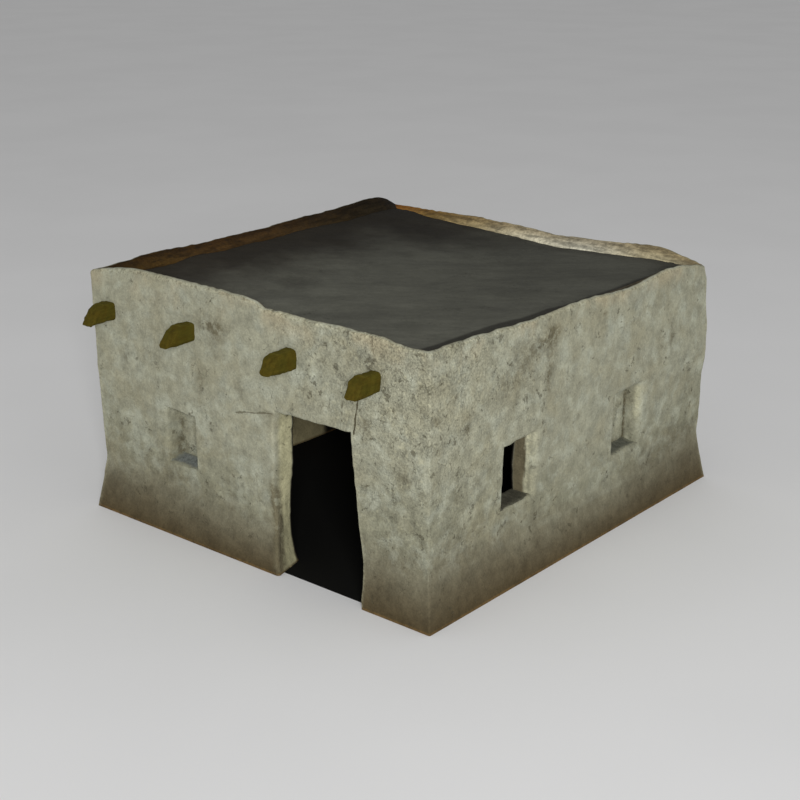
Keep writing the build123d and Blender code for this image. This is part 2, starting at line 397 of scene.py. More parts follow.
def place_on(wall, along, depth, height):
    """Points from distances along a wall, into the house and up."""
    corner, way, inward = (np.array(v, float) for v in CORNERS[wall])
    along, depth, height = np.broadcast_arrays(along, depth, height)
    flat = corner + along[..., None] * way + depth[..., None] * inward
    return np.concatenate([flat, height[..., None]], axis=-1)


def wall_length(wall):
    """Length of a wall from corner to corner."""
    return float(abs(np.dot(PLAN_HIGH[:2] - PLAN_LOW[:2], CORNERS[wall][1])))


def mitred(wall, along, depth):
    """Distances along a wall once its ends are mitred: near a corner they follow the depth, and a
    parabola rounds the corner. Returns the new distances along and into the house."""
    reach, round_by = 0.55, 0.005
    left, right = along, wall_length(wall) - along
    new_along = along + depth * fall(left, reach) - depth * fall(right, reach)
    left_round = round_by * fall(left, 4 * round_by) ** 2
    right_round = round_by * fall(right, 4 * round_by) ** 2
    return new_along + left_round - right_round, depth + left_round + right_round


def crest_of(wall, along):
    """Height of the parapet's crest along a wall: a smooth run with small chips, and a step in the
    front one. It stays just under the top of the frame."""
    level = smooth_run(CRESTS[wall], along / wall_length(wall))
    points = place_on(wall, along, 0 * along, 0 * along)
    chips = swell(points, 41, 0.07, 0.35, 0.0028)
    step = 0.0
    if wall == "front":
        step = -0.012 * hill(along, 2.62, 0.05) + 0.006 * hill(along, 2.5, 0.05)
    return np.minimum(level + chips + step, FRAME_BOUNDS[1][2] - 0.0015)


# The roof's height at its left edge, its fall to the right, and how much more it sags at the back
ROOF_LEFT, ROOF_FALL, ROOF_BACK_SAG = 2.738, 0.093, 0.02


def roof_level(x, y):
    """Height of the roof: it falls from left to right and sags between, most at the back."""
    share = (x - PLAN_LOW[0]) / (PLAN_HIGH[0] - PLAN_LOW[0])
    back = (y - PLAN_LOW[1]) / (PLAN_HIGH[1] - PLAN_LOW[1])
    sag = sizes().roof_sag + ROOF_BACK_SAG * back * back
    return ROOF_LEFT - ROOF_FALL * share - sag * np.sin(np.pi * np.clip(share, 0, 1)) ** 1.2


def bulge(points):
    """How far the outer face of a wall stands out at each point: the spread of its foot, the
    belly, the waist above the foot, and swells in the mud. The top of the front left corner leans
    out, and the top of the back right one is worn back."""
    size, height = sizes(), points[..., 2]
    foot = size.foot_spread * fall(height, size.foot_height) ** 1.12
    out = foot + size.belly * hill(height, 1.72, 0.42) - 0.008 * hill(height, 0.62, 0.12)
    uneven = swell(points, 11, 0.9, 2.4, size.unevenness)
    uneven = uneven + swell(points, 12, 0.22, 0.6, size.unevenness * 0.45)
    uneven = uneven + swell(points, 13, 0.07, 0.16, size.unevenness * 0.16)
    out = out + uneven * ease(-0.1, 0.5, height)
    front_left = np.linalg.norm(points[..., :2] - PLAN_LOW[:2], axis=-1)
    out = out + 0.022 * hill(front_left, 0, 0.5) * ease(1.6, 2.7, height)
    back_right = np.linalg.norm(points[..., :2] - PLAN_HIGH[:2], axis=-1)
    out = out - 0.03 * hill(back_right, 0, 0.12) * ease(2.45, 2.68, height)
    return np.clip(out, -0.04, FOOT_LIMIT)


DOOR_LOW, DOOR_HIGH = span("front_wall_over_door")
DOOR = (float(DOOR_LOW[0] - PLAN_LOW[0]), float(DOOR_HIGH[0] - PLAN_LOW[0]))
DOOR_HEAD = float(DOOR_LOW[2])

# How the doorway's edges lean from upright at even steps from the ground to the head
LEFT_JAMB_OUTSIDE = (0.066, 0.020, -0.004, -0.030, -0.046, -0.048, -0.040, -0.026, 0.0)
LEFT_JAMB_INSIDE = (-0.034, -0.078, -0.080, -0.064, -0.040, -0.014, -0.010, -0.004, 0.010)
RIGHT_JAMB = (0.200, 0.180, 0.152, 0.111, 0.084, 0.058, 0.038, 0.022, 0.010)


def opening_edges(wall, filling):
    """Edges of a window, from its sill and lintel: left and right along the wall, bottom, top."""
    corner, way, _ = (np.array(value, float) for value in CORNERS[wall])
    low, high = span(filling + "_sill")
    ends = sorted([float(np.dot(low[:2] - corner, way)), float(np.dot(high[:2] - corner, way))])
    return ends[0], ends[1], float(high[2]), float(span(filling + "_lintel")[0][2])


OPENINGS = {
    "front": {
        "doorway": (DOOR[0], DOOR[1], -1.0, DOOR_HEAD),
        "front_window": opening_edges("front", "front_window"),
    },
    "right": {
        "near_side_window": opening_edges("right", "near_side_window"),
        "far_side_window": opening_edges("right", "far_side_window"),
    },
    "back": {},
    "left": {},
}
BLIND = ("front_window", "far_side_window")
WALL_NODES = {
    "front": ("front_wall_left", "front_wall_right", "front_wall_over_door", "front_parapet"),
    "right": ("right_wall", "right_parapet"),
    "back": ("back_wall", "back_parapet"),
    "left": ("left_wall", "left_parapet"),
}

# Patches on the plaster: distance along the wall, height, half width, half height, strength
SMUDGES = {
    "front": (
        (1.88, 2.50, 0.20, 0.09, 0.70), (1.95, 2.40, 0.10, 0.12, 0.35),
        (0.50, 1.95, 0.06, 0.15, 0.55), (1.68, 1.85, 0.05, 0.18, 0.55),
        (1.36, 2.32, 0.12, 0.05, 0.35), (3.40, 2.42, 0.06, 0.10, 0.30),
        (2.73, 1.05, 0.03, 0.13, 0.60), (2.745, 0.80, 0.04, 0.15, 1.00),
        (2.755, 0.55, 0.045, 0.17, 1.10), (2.755, 0.30, 0.045, 0.17, 1.10),
        (2.755, 0.10, 0.04, 0.12, 0.90), (3.97, 1.92, 0.11, 0.12, 0.60),
        (4.60, 0.76, 0.05, 0.04, 0.50), (2.10, 0.80, 0.20, 0.04, 0.25),
        (3.75, 2.62, 0.30, 0.10, 0.25), (2.68, 1.76, 0.07, 0.02, 0.90),
        (2.25, 1.95, 0.14, 0.10, 0.30), (4.45, 1.55, 0.12, 0.16, 0.30),
        (0.95, 2.00, 0.20, 0.12, 0.20), (1.30, 0.66, 0.30, 0.06, 0.25),
    ),
    "right": (
        (1.98, 2.55, 0.16, 0.10, 0.90), (1.95, 2.32, 0.09, 0.22, 0.45),
        (1.50, 2.30, 0.22, 0.14, 0.35), (1.70, 2.46, 0.25, 0.10, 0.50),
        (0.55, 1.93, 0.06, 0.13, 0.75), (0.35, 2.27, 0.06, 0.05, 0.65),
        (1.90, 2.05, 0.04, 0.15, 0.70), (1.78, 1.83, 0.03, 0.08, 0.50),
        (4.35, 1.95, 0.06, 0.15, 0.55), (2.93, 2.55, 0.05, 0.03, 0.70),
        (0.10, 1.80, 0.07, 0.08, 0.70), (0.10, 2.10, 0.08, 0.06, 0.55),
        (1.25, 2.20, 0.30, 0.28, 0.35), (2.00, 0.56, 0.10, 0.05, 0.40),
        (0.42, 1.30, 0.04, 0.14, 0.40), (4.85, 2.40, 0.12, 0.25, 0.30),
        (0.75, 1.30, 0.16, 0.10, 0.30), (4.40, 0.62, 0.35, 0.09, 0.40),
    ),
    "back": (
        (1.20, 2.20, 0.35, 0.20, 0.45), (3.40, 1.40, 0.20, 0.40, 0.40),
        (4.20, 2.30, 0.20, 0.20, 0.45), (2.30, 1.00, 0.30, 0.08, 0.35),
        (0.40, 1.60, 0.08, 0.20, 0.50),
    ),
    "left": (
        (0.90, 2.30, 0.30, 0.20, 0.45), (2.70, 1.60, 0.20, 0.35, 0.35),
        (4.30, 2.20, 0.25, 0.20, 0.45), (1.60, 1.10, 0.25, 0.10, 0.35),
        (3.60, 2.50, 0.10, 0.15, 0.50),
    ),
}
PALE_PATCHES = {
    "front": (
        (3.25, 2.28, 0.25, 0.12, 0.60), (2.20, 1.40, 0.28, 0.20, 0.35),
        (2.95, 2.62, 0.25, 0.10, 0.35), (0.98, 1.50, 0.12, 0.09, 0.30),
        (0.98, 1.25, 0.07, 0.12, 0.30), (1.72, 1.16, 0.08, 0.05, 0.50),
    ),
    "right": (
        (4.30, 1.95, 0.50, 0.45, 0.35), (3.20, 2.30, 0.25, 0.15, 0.35),
        (0.30, 2.60, 0.20, 0.10, 0.40), (2.85, 1.45, 0.30, 0.25, 0.35),
        (1.95, 0.49, 0.14, 0.02, 0.40), (3.00, 0.46, 0.60, 0.02, 0.30),
    ),
    "back": (
        (2.40, 2.30, 0.40, 0.20, 0.40), (0.80, 1.30, 0.25, 0.20, 0.35),
    ),
    "left": (
        (3.40, 1.90, 0.40, 0.25, 0.40), (1.20, 1.70, 0.25, 0.20, 0.35),
    ),
}

# Height to which damp darkens the mud, at even steps along each wall from its left end
DAMP_REACH = {
    "front": (0.52, 0.52, 0.48, 0.44, 0.40, 0.42, 0.46, 0.50, 0.52),
    "right": (0.56, 0.58, 0.52, 0.40, 0.36, 0.37, 0.42, 0.50, 0.50),
    "back": (0.56, 0.50, 0.42, 0.40, 0.46, 0.50, 0.44, 0.48, 0.50),
    "left": (0.50, 0.44, 0.40, 0.42, 0.50, 0.48, 0.44, 0.48, 0.52),
}


def patches(spots, along, height):
    """The sum of soft oval patches: distance along, height, half width, half height, strength."""
    spots = np.array(spots)[:, :, None]
    where, level, half_width, half_height, strength = (spots[:, n] for n in range(5))
    away = ((along - where) / half_width) ** 2 + ((height - level) / half_height) ** 2
    return (strength * np.exp(-away)).sum(axis=0)


def opening_gap(edges, along, height):
    """Distance from an opening's edges for points outside it, and 0 within it."""
    left, right, sill, head = edges
    aside = np.maximum(np.maximum(left - along, along - right), 0)
    above = np.maximum(np.maximum(sill - height, height - head), 0)
    return np.hypot(aside, above)


def jamb_lean(wall, along, height, deep):
    """How far the upright mesh lines lean beside the openings: the doorway's left jamb is
    hollowed and runs out at its foot, its right jamb splays, and the open window leans a little."""
    lean = 0.0 * along
    if wall == "front":
        share = np.clip(height / DOOR_HEAD, 0, 1)
        left = smooth_run(LEFT_JAMB_INSIDE if deep else LEFT_JAMB_OUTSIDE, share)
        right = smooth_run(RIGHT_JAMB, share)
        lean = lean + left * fall(np.abs(along - DOOR[0]), 0.55)
        lean = lean + right * fall(np.abs(along - DOOR[1]), 0.45)
    if wall == "right":
        left, right, sill, head = OPENINGS["right"]["near_side_window"]
        share = np.clip((height - sill) / (head - sill), 0, 1)
        level = hill(height, (sill + head) / 2, 0.6)
        lean = lean - (0.016 * share + 0.014) * level * fall(np.abs(along - left), 0.3)
        if deep:
            lean = lean - 0.045 * level * fall(np.abs(along - right), 0.3)
    return lean


def wall_grid(wall):
    """The grid that both faces of a wall share: distances along it, heights, and which of its
    cells are wall and not opening."""
    length, step = wall_length(wall), sizes().mesh_step
    openings = OPENINGS[wall].values()
    edges_along = [0.0, length] + [edge for opening in openings for edge in opening[:2]]
    edges_up = [NOMINAL_TOP] + [edge for opening in openings for edge in opening[2:] if edge > 0]
    along = lines(0.0, length, edges_along, step)
    height = lines(0.0, NOMINAL_TOP, edges_up, step)
    middle_along = ((along[:-1] + along[1:]) / 2)[:, None]
    middle_up = ((height[:-1] + height[1:]) / 2)[None, :]
    kept = np.ones((len(along) - 1, len(height) - 1), bool)
    for left, right, sill, head in openings:
        beside = (middle_along > left) & (middle_along < right)
        kept &= ~(beside & (middle_up > sill) & (middle_up < head))
    along, height = np.meshgrid(along, height, indexing="ij")
    return along, height, kept


# Radius of the rounded edges at the left and right of the openings
EDGE_RADII = {
    "doorway": (0.030, 0.024), "front_window": (0.050, 0.004),
    "near_side_window": (0.016, 0.060), "far_side_window": (0.030, 0.070),
}


def rounded_edges(wall, along, height, scale=1.0):
    """How far the face turns in at the edges of its openings: a quarter circle, whose radius
    changes evenly from an opening's left side to its right."""
    turn = 0.0 * along
    for name, opening in OPENINGS[wall].items():
        left, right = EDGE_RADII[name]
        across = np.clip((along - opening[0]) / (opening[1] - opening[0]), 0, 1)
        radius = scale * (left + (right - left) * across)
        gap = np.minimum(opening_gap(opening, along, height), radius)
        turn = np.maximum(turn, radius - np.sqrt(radius**2 - (radius - gap) ** 2))
    return turn


def near_openings(wall, along, height, reach):
    """1 at the edges of openings, falling to 0 away from them."""
    near = 0.0 * along
    for opening in OPENINGS[wall].values():
        near = np.maximum(near, hill(opening_gap(opening, along, height), 0, reach))
    return near


# Inside the walls: the spread of their foot, how far in the roof's edge and the toe of the
# parapets' slope lie, and how far the mesh dips behind the roof's edge
INNER_FOOT = 0.06
ROOF_EDGE = 0.226
SLOPE_TOE = 0.21
ROOF_LIP = 0.05
# How far the ridge arches up to the crest between the faces
RIDGE_ARCH = 0.010


def wall_faces(wall):
    """The outer and inner faces of a wall on its shared grid. Outside, height runs from the ground
    to the crest. Inside, it runs up the room to the wall top, then behind the roof's edge and up
    the parapet's slope to the ridge."""
    along, height, kept = wall_grid(wall)
    size = sizes()
    crest = crest_of(wall, along)
    above = np.clip((height - WALL_TOP) / (NOMINAL_TOP - WALL_TOP), 0, 1)
    near = near_openings(wall, along, height, 0.10)
    flat = place_on(wall, along, 0 * along, height)
    wobble = swell(flat, 21, 0.10, 0.40, 0.0035) * near
    lift = swell(flat, 22, 0.10, 0.40, 0.0030) * near * (height > 0)
    if wall == "front":
        share = np.clip((DOOR[1] - along) / (DOOR[1] - DOOR[0]), 0, 1)
        drop = 0.024 * share * hill(np.minimum(along - DOOR[0], 0), 0, 0.1)
        lift = lift - drop * hill(height, DOOR_HEAD, 0.25)

    parapet_up = WALL_TOP + (crest - RIDGE_ARCH - WALL_TOP) * above
    outer_up = np.where(height > WALL_TOP, parapet_up, height + lift)
    outer_flat = place_on(wall, along, 0 * along, outer_up)
    out = bulge(outer_flat)
    crest_turn = 0.014 * fall(NOMINAL_TOP - height, 0.03) ** 2
    depth = crest_turn - out + rounded_edges(wall, along, height)
    run, depth = mitred(wall, along + jamb_lean(wall, along, height, False) + wobble, depth)
    outer = place_on(wall, run, depth, outer_up)

    toe_depth = SLOPE_TOE + 0 * along
    toe = place_on(wall, mitred(wall, along, toe_depth)[0], toe_depth, height)
    roof = roof_level(toe[..., 0], toe[..., 1])
    runs = ((0, 0.12), (0.12, 0.12), (0.24, 0.76))
    behind, under, slope = (np.clip((above - start) / length, 0, 1) for start, length in runs)
    foot = INNER_FOOT * fall(height, size.foot_height)
    room_uneven = swell(flat, 23, 0.3, 1.2, 0.004)
    depth = WALL_THICKNESS + foot + room_uneven * (above == 0)
    depth = depth - rounded_edges(wall, along, height, 0.5)
    depth = np.where(above == 0, depth, WALL_THICKNESS)
    depth = depth + (ROOF_EDGE - WALL_THICKNESS) * behind + (size.parapet_foot - ROOF_EDGE) * under
    depth = depth + (size.ridge - size.parapet_foot) * slope
    hollow = np.sin(np.pi * slope)
    lumps = swell(toe + np.stack([0 * along, 0 * along, slope], axis=-1), 24, 0.10, 0.45, 0.005)
    depth = depth + hollow * (0.008 + lumps)
    inner_up = np.where(
        above == 0, height + lift,
        WALL_TOP + (roof - ROOF_LIP - WALL_TOP) * behind + ROOF_LIP * under
        + (crest - RIDGE_ARCH - roof) * slope + hollow * swell(toe, 25, 0.06, 0.3, 0.002)
    )
    run, depth = mitred(wall, along + jamb_lean(wall, along, height, True) + wobble, depth)
    inner = place_on(wall, run, depth, inner_up)
    return along, height, kept, outer, inner


def edge_bender(wall, along, height):
    """Gives the function that bends the strips closing a wall's edges: the ridge arches up to the
    crest, the mud stops short of the timbers over openings and of the slate below them, and the
    reveals are uneven."""
    length = wall_length(wall)
    way = np.array(CORNERS[wall][1] + (0,), float)
    flat_along, flat_up = along.ravel(), height.ravel()

    def bend(points, share, rim):
        here, up = flat_along[rim], flat_up[rim]
        top, ground = on(up, NOMINAL_TOP), on(up, 0)
        end = on(here, 0) | on(here, length)
        head, sill = np.zeros(len(rim), bool), np.zeros(len(rim), bool)
        for left, right, low, high in OPENINGS[wall].values():
            within = (here > left - CLOSE) & (here < right + CLOSE)
            head |= within & on(up, high)
            sill |= within & on(up, low)
        inside = ease(0.02, 0.14, share) * (1 - ease(0.93, 1.0, share))
        points[..., 2] += np.where(top, RIDGE_ARCH * np.sin(np.pi * share) ** 0.7, 0)
        points[..., 2] += np.where(head & ~end, 0.011 * inside, 0)
        points[..., 2] -= np.where(sill & ~end, 0.016 * inside, 0)
        uneven = swell(points, 31, 0.08, 0.30, 0.004) * np.sin(np.pi * share)
        reveal = ~top & ~end & ~ground
        points += np.where(reveal, uneven, 0)[..., None] * way
        return points

    return bend


def slope_tint(wall, share, climb):
    """Colour of a parapet's inner slope, at a share of the wall's length from its left end and a
    share of the way up: pale at the foot of the slope, browner at the ridge."""
    runs = {
        # The left slope's very dark tones are partly its reddish-brown mud and partly painted shade
        # of its shadow side.
        "left": ((30, 24, 14), (31, 24, 11), (42, 31, 14), (56, 40, 18), (57, 40, 17), (53, 38, 14),
                 (50, 35, 11)),
        "back": ((146, 136, 108), (148, 138, 110), (170, 165, 146), (168, 161, 138), (138, 124, 92),
                 (120, 98, 56), (126, 80, 18)),
        "front": ((72, 62, 44), (84, 77, 60), (90, 84, 68), (88, 82, 66), (74, 67, 52)),
        "right": ((76, 70, 55), (80, 74, 58), (74, 68, 54), (78, 71, 55), (96, 87, 66)),
    }
    values = np.array([[straight(value) for value in tone] for tone in runs[wall]])
    place = share * (len(values) - 1)
    fade = ((1.32, 0.42), (1.34, 0.50), (1.38, 0.62))
    tones = [
        np.interp(place, np.arange(len(values)), values[:, n]) * (low - fall_off * climb)
        for n, (low, fall_off) in enumerate(fade)
    ]
    return np.stack(tones + [np.ones_like(share)], axis=-1)


def mark_front(values, here, up, depth, in_reveal):
    """Marks on the front wall: a cream edge down the doorway's right jamb, worn with a painted
    highlight, brown streaks on its left reveal, and round the blind window a head painted pale as
    painted light against the shade under it, with painted shade inside its left edge, lower down
    and towards the inner corner, and a stain on the face beside it."""
    on_face = depth == 0
    # Cream down the doorway's right jamb: wear with a painted highlight.
    right_jamb = np.where(on_face & (up < DOOR_HEAD), 0.60 * hill(here - DOOR[1], 0, 0.035), 0)
    values["worn"] = np.maximum(values["worn"], right_jamb)
    left_jamb = in_reveal & on(here, DOOR[0])
    streaks = 1.4 * values["stain_and_shade"] * hill(depth, 0.0, 0.30)
    values["stain_and_shade"] = np.where(left_jamb, streaks, values["stain_and_shade"])

    left, right, sill, head = OPENINGS["front"]["front_window"]
    across = ease(left, left + 0.08, here) * (1 - ease(right, right + 0.03, here))
    # Painted light: a pale band at the head, against the shade under it.
    values["pale"] = values["pale"] + np.where(on_face, 0.4 * across * hill(up - head, 0, 0.03), 0)
    # Painted shade inside the left edge, lower down and towards the inner corner; beside it on the
    # face, a stain.
    low = 1 - ease(0.25, 0.60, (up - sill) / (head - sill))
    inside = np.where(in_reveal & on(here, left), 0.35 * low + 0.35 * hill(depth, 0.85, 0.30), 0)
    beside = 0.35 * hill(here - left, -0.02, 0.09) * hill(up, sill + 0.10, 0.14)
    values["stain_and_shade"] = values["stain_and_shade"] + inside + np.where(on_face, beside, 0)


def far_reveal(window, here, up, depth, in_reveal):
    """Of a side window: its right edge and head, the share of the way up it, and which points lie
    on its right reveal and on the face beside that."""
    _, edge, sill, head = OPENINGS["right"][window]
    level_with = (up > sill) & (up < head)
    face = (depth == 0) & (here > edge - 0.001) & level_with
    return edge, head, (up - sill) / (head - sill), in_reveal & on(here, edge) & level_with, face


def mark_near_side_window(values, here, up, depth, in_reveal):
    """The open window's far reveal: cream outside, most of all above its middle, as wear with a
    painted highlight where light catches the outer edge, and brown from a ragged line inwards, as
    dirt with painted shade."""
    edge, _, share, reveal, face = far_reveal("near_side_window", here, up, depth, in_reveal)
    ragged = 0.27 + 0.04 * np.sin(share * 9.0)
    inner = ease(ragged - 0.05, ragged + 0.05, depth)
    peak = np.where(share > 0.52, 1.1, 0.60)
    # Cream on the outer part of the far reveal and on the face beside it: wear with a painted
    # highlight where light catches the edge.
    worn = np.where(reveal, peak * ease(-0.1, 0.15, depth) * (1 - inner), values["worn"])
    values["worn"] = np.where(face, 0.45 * peak * hill(here - edge, 0, 0.035), worn)
    # Brown inwards of the ragged line: dirt with painted shade.
    values["brown"] = np.where(reveal, inner, values["brown"])


def mark_far_side_window(values, here, up, depth, in_reveal):
    """The blind side window: a cream upper edge on its far reveal, worn with a painted highlight, a
    painted shade line in its inner corner, and a head painted pale as painted light against the
    shade under it."""
    edge, head, share, reveal, face = far_reveal("far_side_window", here, up, depth, in_reveal)
    # Cream upper edge of the far reveal and the face beside it: wear with a painted highlight.
    upper = ease(0.30, 0.55, share) * (1 - ease(0.90, 1.0, share))
    worn = np.where(reveal, 0.9 * hill(depth, 0.03, 0.08) * upper, values["worn"])
    values["worn"] = np.where(face, 0.7 * upper * hill(here - edge, 0.0, 0.03), worn)
    # Painted shade: a dark line in the inner corner, fading out near the top.
    line = hill(depth, 0.76, 0.035) * (1 - ease(0.80, 0.95, share))
    values["stain_and_shade"] = np.where(reveal, 0.10 + 3.2 * line, values["stain_and_shade"])
    values["room"] = np.maximum(values["room"], np.where(reveal, 0.6 * line, 0))
    values["painted_shade"] = np.maximum(values["painted_shade"], np.where(reveal, line, 0))
    # Painted light: a pale band at the head, against the shade under it.
    over = (depth == 0) & (np.abs(here - (edge - 0.2)) < 0.3)
    values["pale"] = values["pale"] + np.where(over, hill(up - head, 0, 0.025), 0)


def wall_values(wall, along, height, depth, source, points):
    """What the finish needs to know at each point of a wall: worn edges with painted highlights,
    stains with painted shade, pale patches with painted light, how pitted it is, how high the damp
    reaches, whether it is reveal, parapet slope or room, the room's painted shade, and the slope's
    colour."""
    length = wall_length(wall)
    here, up = along.ravel()[source], height.ravel()[source]
    gap = np.full(len(here), FAR)
    for opening in OPENINGS[wall].values():
        gap = np.minimum(gap, opening_gap(opening, here, up))
    outside, on_face = depth < 0.5, depth == 0
    in_reveal = (gap < CLOSE) & (depth > 0) & (depth < 1)

    # The corners are worn, apart from the one between the front and the right wall
    to_corner = {"front": here, "right": length - here}.get(wall, np.minimum(here, length - here))
    corner_wear = 0.45 if OPENINGS[wall] else 0.20
    ridge = on(up, NOMINAL_TOP) & (depth > 0) & (depth < 1)
    above, below = (depth == 1) & (up > WALL_TOP + CLOSE), (depth == 1) & (up <= WALL_TOP + CLOSE)
    # Inside, the walls take the room's mud, and a near-black painted shade covers the room's walls
    # and the inner ends of the reveals; on the left wall the painted shade starts partway back from
    # the front.
    room = np.where(below, 1.0, 0) + np.where(in_reveal, ease(0.9, 1.0, depth), 0)
    painted_shade = np.where(in_reveal, ease(0.86, 0.92, depth), room)
    near_corner = np.array([PLAN_HIGH[0], PLAN_LOW[1], 2.7])
    pitted = np.clip(1.15 - np.linalg.norm(points - near_corner, axis=-1) / 2.6, 0.22, 1)
    climb = ease(0.35, 1.0, (up - WALL_TOP) / (NOMINAL_TOP - WALL_TOP))
    values = {
        "worn": np.where(on_face, corner_wear * hill(to_corner, 0, 0.03), 0),
        "stain_and_shade": np.where(outside, patches(SMUDGES[wall], here, up), 0),
        "pale": np.where(outside, patches(PALE_PATCHES[wall], here, up), 0),
        "brown": 0.0 * here,
        "reveal": np.where(in_reveal & on(here, DOOR[0]), ease(0.0, 0.40, depth), 0),
        "slope": np.where(above, 1.0, 0) + np.where(ridge, ease(0.25, 0.8, depth), 0),
        "slope_tint": slope_tint(wall, here / length, climb),
        "room": room,
        "painted_shade": painted_shade * (ease(0.70, 0.82, points[..., 1]) if wall == "left" else 1.0),
        "pitted": pitted * (0.8 if wall == "right" else 1.0),
        "below_crest": np.where(on_face, NOMINAL_TOP - up, FAR),
        "damp_reach": smooth_run(DAMP_REACH[wall], here / length),
    }
    if wall == "front":
        mark_front(values, here, up, depth, in_reveal)
    if wall == "right":
        mark_near_side_window(values, here, up, depth, in_reveal)
        mark_far_side_window(values, here, up, depth, in_reveal)
    return values


def build_wall(wall, finish):
    """One wall with its parapet, openings cut through."""
    along, height, kept, outer, inner = wall_faces(wall)
    points, faces, depth, source = shell(outer, inner, kept, 10, edge_bender(wall, along, height))
    values = wall_values(wall, along, height, depth, source, points)
    return make_piece(wall + "_mud", points, [faces], finish, WALL_NODES[wall], values)


# ---------------------------------------------------------------- roof, logs, window fillings


# The roof's mesh: how wide and how deep it is counted, and how thick the sheet is
ROOF_ACROSS, ROOF_BACK, ROOF_THICK = 4.4, 4.75, 0.06


def build_roof(finish):
    """The mud roof: a sheet at the roof's level, uneven and sagging, under the parapets' slopes."""
    step, tuck = sizes().mesh_step * 1.3, sizes().parapet_foot - 0.016
    across = np.linspace(PLAN_LOW[0] + tuck, PLAN_HIGH[0] - tuck, round(ROOF_ACROSS / step))
    back = np.linspace(PLAN_LOW[1] + tuck, PLAN_HIGH[1] - tuck, round(ROOF_BACK / step))
    x, y = np.meshgrid(across, back, indexing="ij")
    level = roof_level(x, y)
    flat = np.stack([x, y, 0 * x], axis=-1)
    level = level + swell(flat, 51, 0.5, 1.6, 0.006) + swell(flat, 52, 0.10, 0.35, 0.0016)
    top = np.stack([x, y, level], axis=-1)
    bottom = np.stack([x, y, level - ROOF_THICK], axis=-1)
    return make_slab("roof_coat", top, bottom, 2, finish, "roof_mud")


# Roof logs: how far each is off its place, half its width, how far its tip stands back, and how
# far its end slopes back from bottom to top
LOGS = {
    "viga_1": (0.030, 0.090, 0.036, 0.150), "viga_2": (0.034, 0.084, 0.012, 0.165),
    "viga_3": (0.042, 0.082, 0.020, 0.110), "viga_4": (0.045, 0.080, 0.028, 0.115),
}


def build_log(name, finish):
    """A roof log carried along its length: a hewn section between round and square, whose ends
    slope back upwards and close in rings."""
    low, high = span(name)
    aside, half_width, shy_tip, end_slope = LOGS[name]
    middle = (low[0] + high[0]) / 2 + aside
    half_height, axis = (high[2] - low[2]) / 2 + 0.002, (high[2] + low[2]) / 2
    turn = np.linspace(0, 2 * np.pi, 64, endpoint=False)
    power = 2 / sizes().log_boxiness
    unit_x = np.sign(np.cos(turn)) * np.abs(np.cos(turn)) ** power
    unit_z = np.sign(np.sin(turn)) * np.abs(np.sin(turn)) ** power
    seed = 60 + int(name[-1])
    house_end, tip = PLAN_HIGH[1], high[1] - shy_tip

    def end_ring(scale):
        """Places of one end ring: lower points reach further out, and the end domes a little."""
        shy = np.clip(0.5 + 0.5 * unit_z * scale, 0, 1)
        slope = end_slope * shy + 0.045 * ease(0.70, 1.0, shy)
        return tip - slope - 0.006 * scale**4

    inner_end = house_end - 0.12
    shares = np.concatenate([np.linspace(0, 0.94, 30), [0.965, 0.985, 1.0]])
    rings_out = [(1.0, share) for share in shares]
    rings_out += [(scale, 1.0) for scale in (0.985, 0.93, 0.8, 0.6, 0.4, 0.2)]
    scale = np.array([ring[0] for ring in rings_out])[:, None]
    share = np.array([ring[1] for ring in rings_out])[:, None]
    ends = np.stack([end_ring(value) for value in scale[:, 0]])
    along_out = inner_end + (ends - inner_end) * share
    scale_out = scale + 0 * ends
    middle_rows = np.linspace(-inner_end, inner_end, 60)[1:-1, None] + 0 * unit_x
    along = np.concatenate([along_out[::-1], middle_rows[::-1], -along_out])
    scale = np.concatenate([scale_out[::-1], np.ones_like(middle_rows), scale_out])
    across, upright = half_width * unit_x * scale, half_height * unit_z * scale
    points = np.stack([middle + across, along, axis + upright], axis=-1)
    radial = np.stack([unit_x + 0 * along, 0 * along, unit_z + 0 * along], axis=-1)
    rough = swell(points, seed, 0.05, 0.14, 0.0018) + swell(points, seed + 10, 0.2, 0.7, 0.003)
    points = points + radial * (rough * np.minimum(scale, 1))[..., None]
    ragged = swell(points, seed + 20, 0.03, 0.09, 0.0035)
    ragged = ragged * ease(house_end + 0.10, house_end + 0.2, np.abs(along))
    points[..., 1] += np.sign(along) * ragged
    points[..., 1] = np.clip(points[..., 1], low[1] + 0.0005, high[1] - 0.0005)
    rows, columns = points.shape[:2]
    crown = (ease(0.90, 0.99, unit_z) * ease(0.90, 1.0, scale)).ravel()
    tip_share = ease(house_end + 0.20, house_end + 0.38, np.abs(points[..., 1])).ravel()
    centres = np.array([points[0].mean(axis=0), points[-1].mean(axis=0)])
    index = np.arange(rows * columns).reshape(rows, columns)
    after = np.roll(index, -1, axis=1)
    sides = np.stack([index[:-1], after[:-1], after[1:], index[1:]], axis=-1).reshape(-1, 4)
    first = np.stack([after[0], index[0], np.full(columns, rows * columns)], axis=-1)
    last = np.stack([index[-1], after[-1], np.full(columns, rows * columns + 1)], axis=-1)
    points = np.concatenate([points.reshape(-1, 3), centres])
    values = {"crown": np.append(crown, [0, 0]), "tip": np.append(tip_share, [1, 1])}
    return make_piece(name + "_log", points, [sides, first, last], finish, (name,), values)


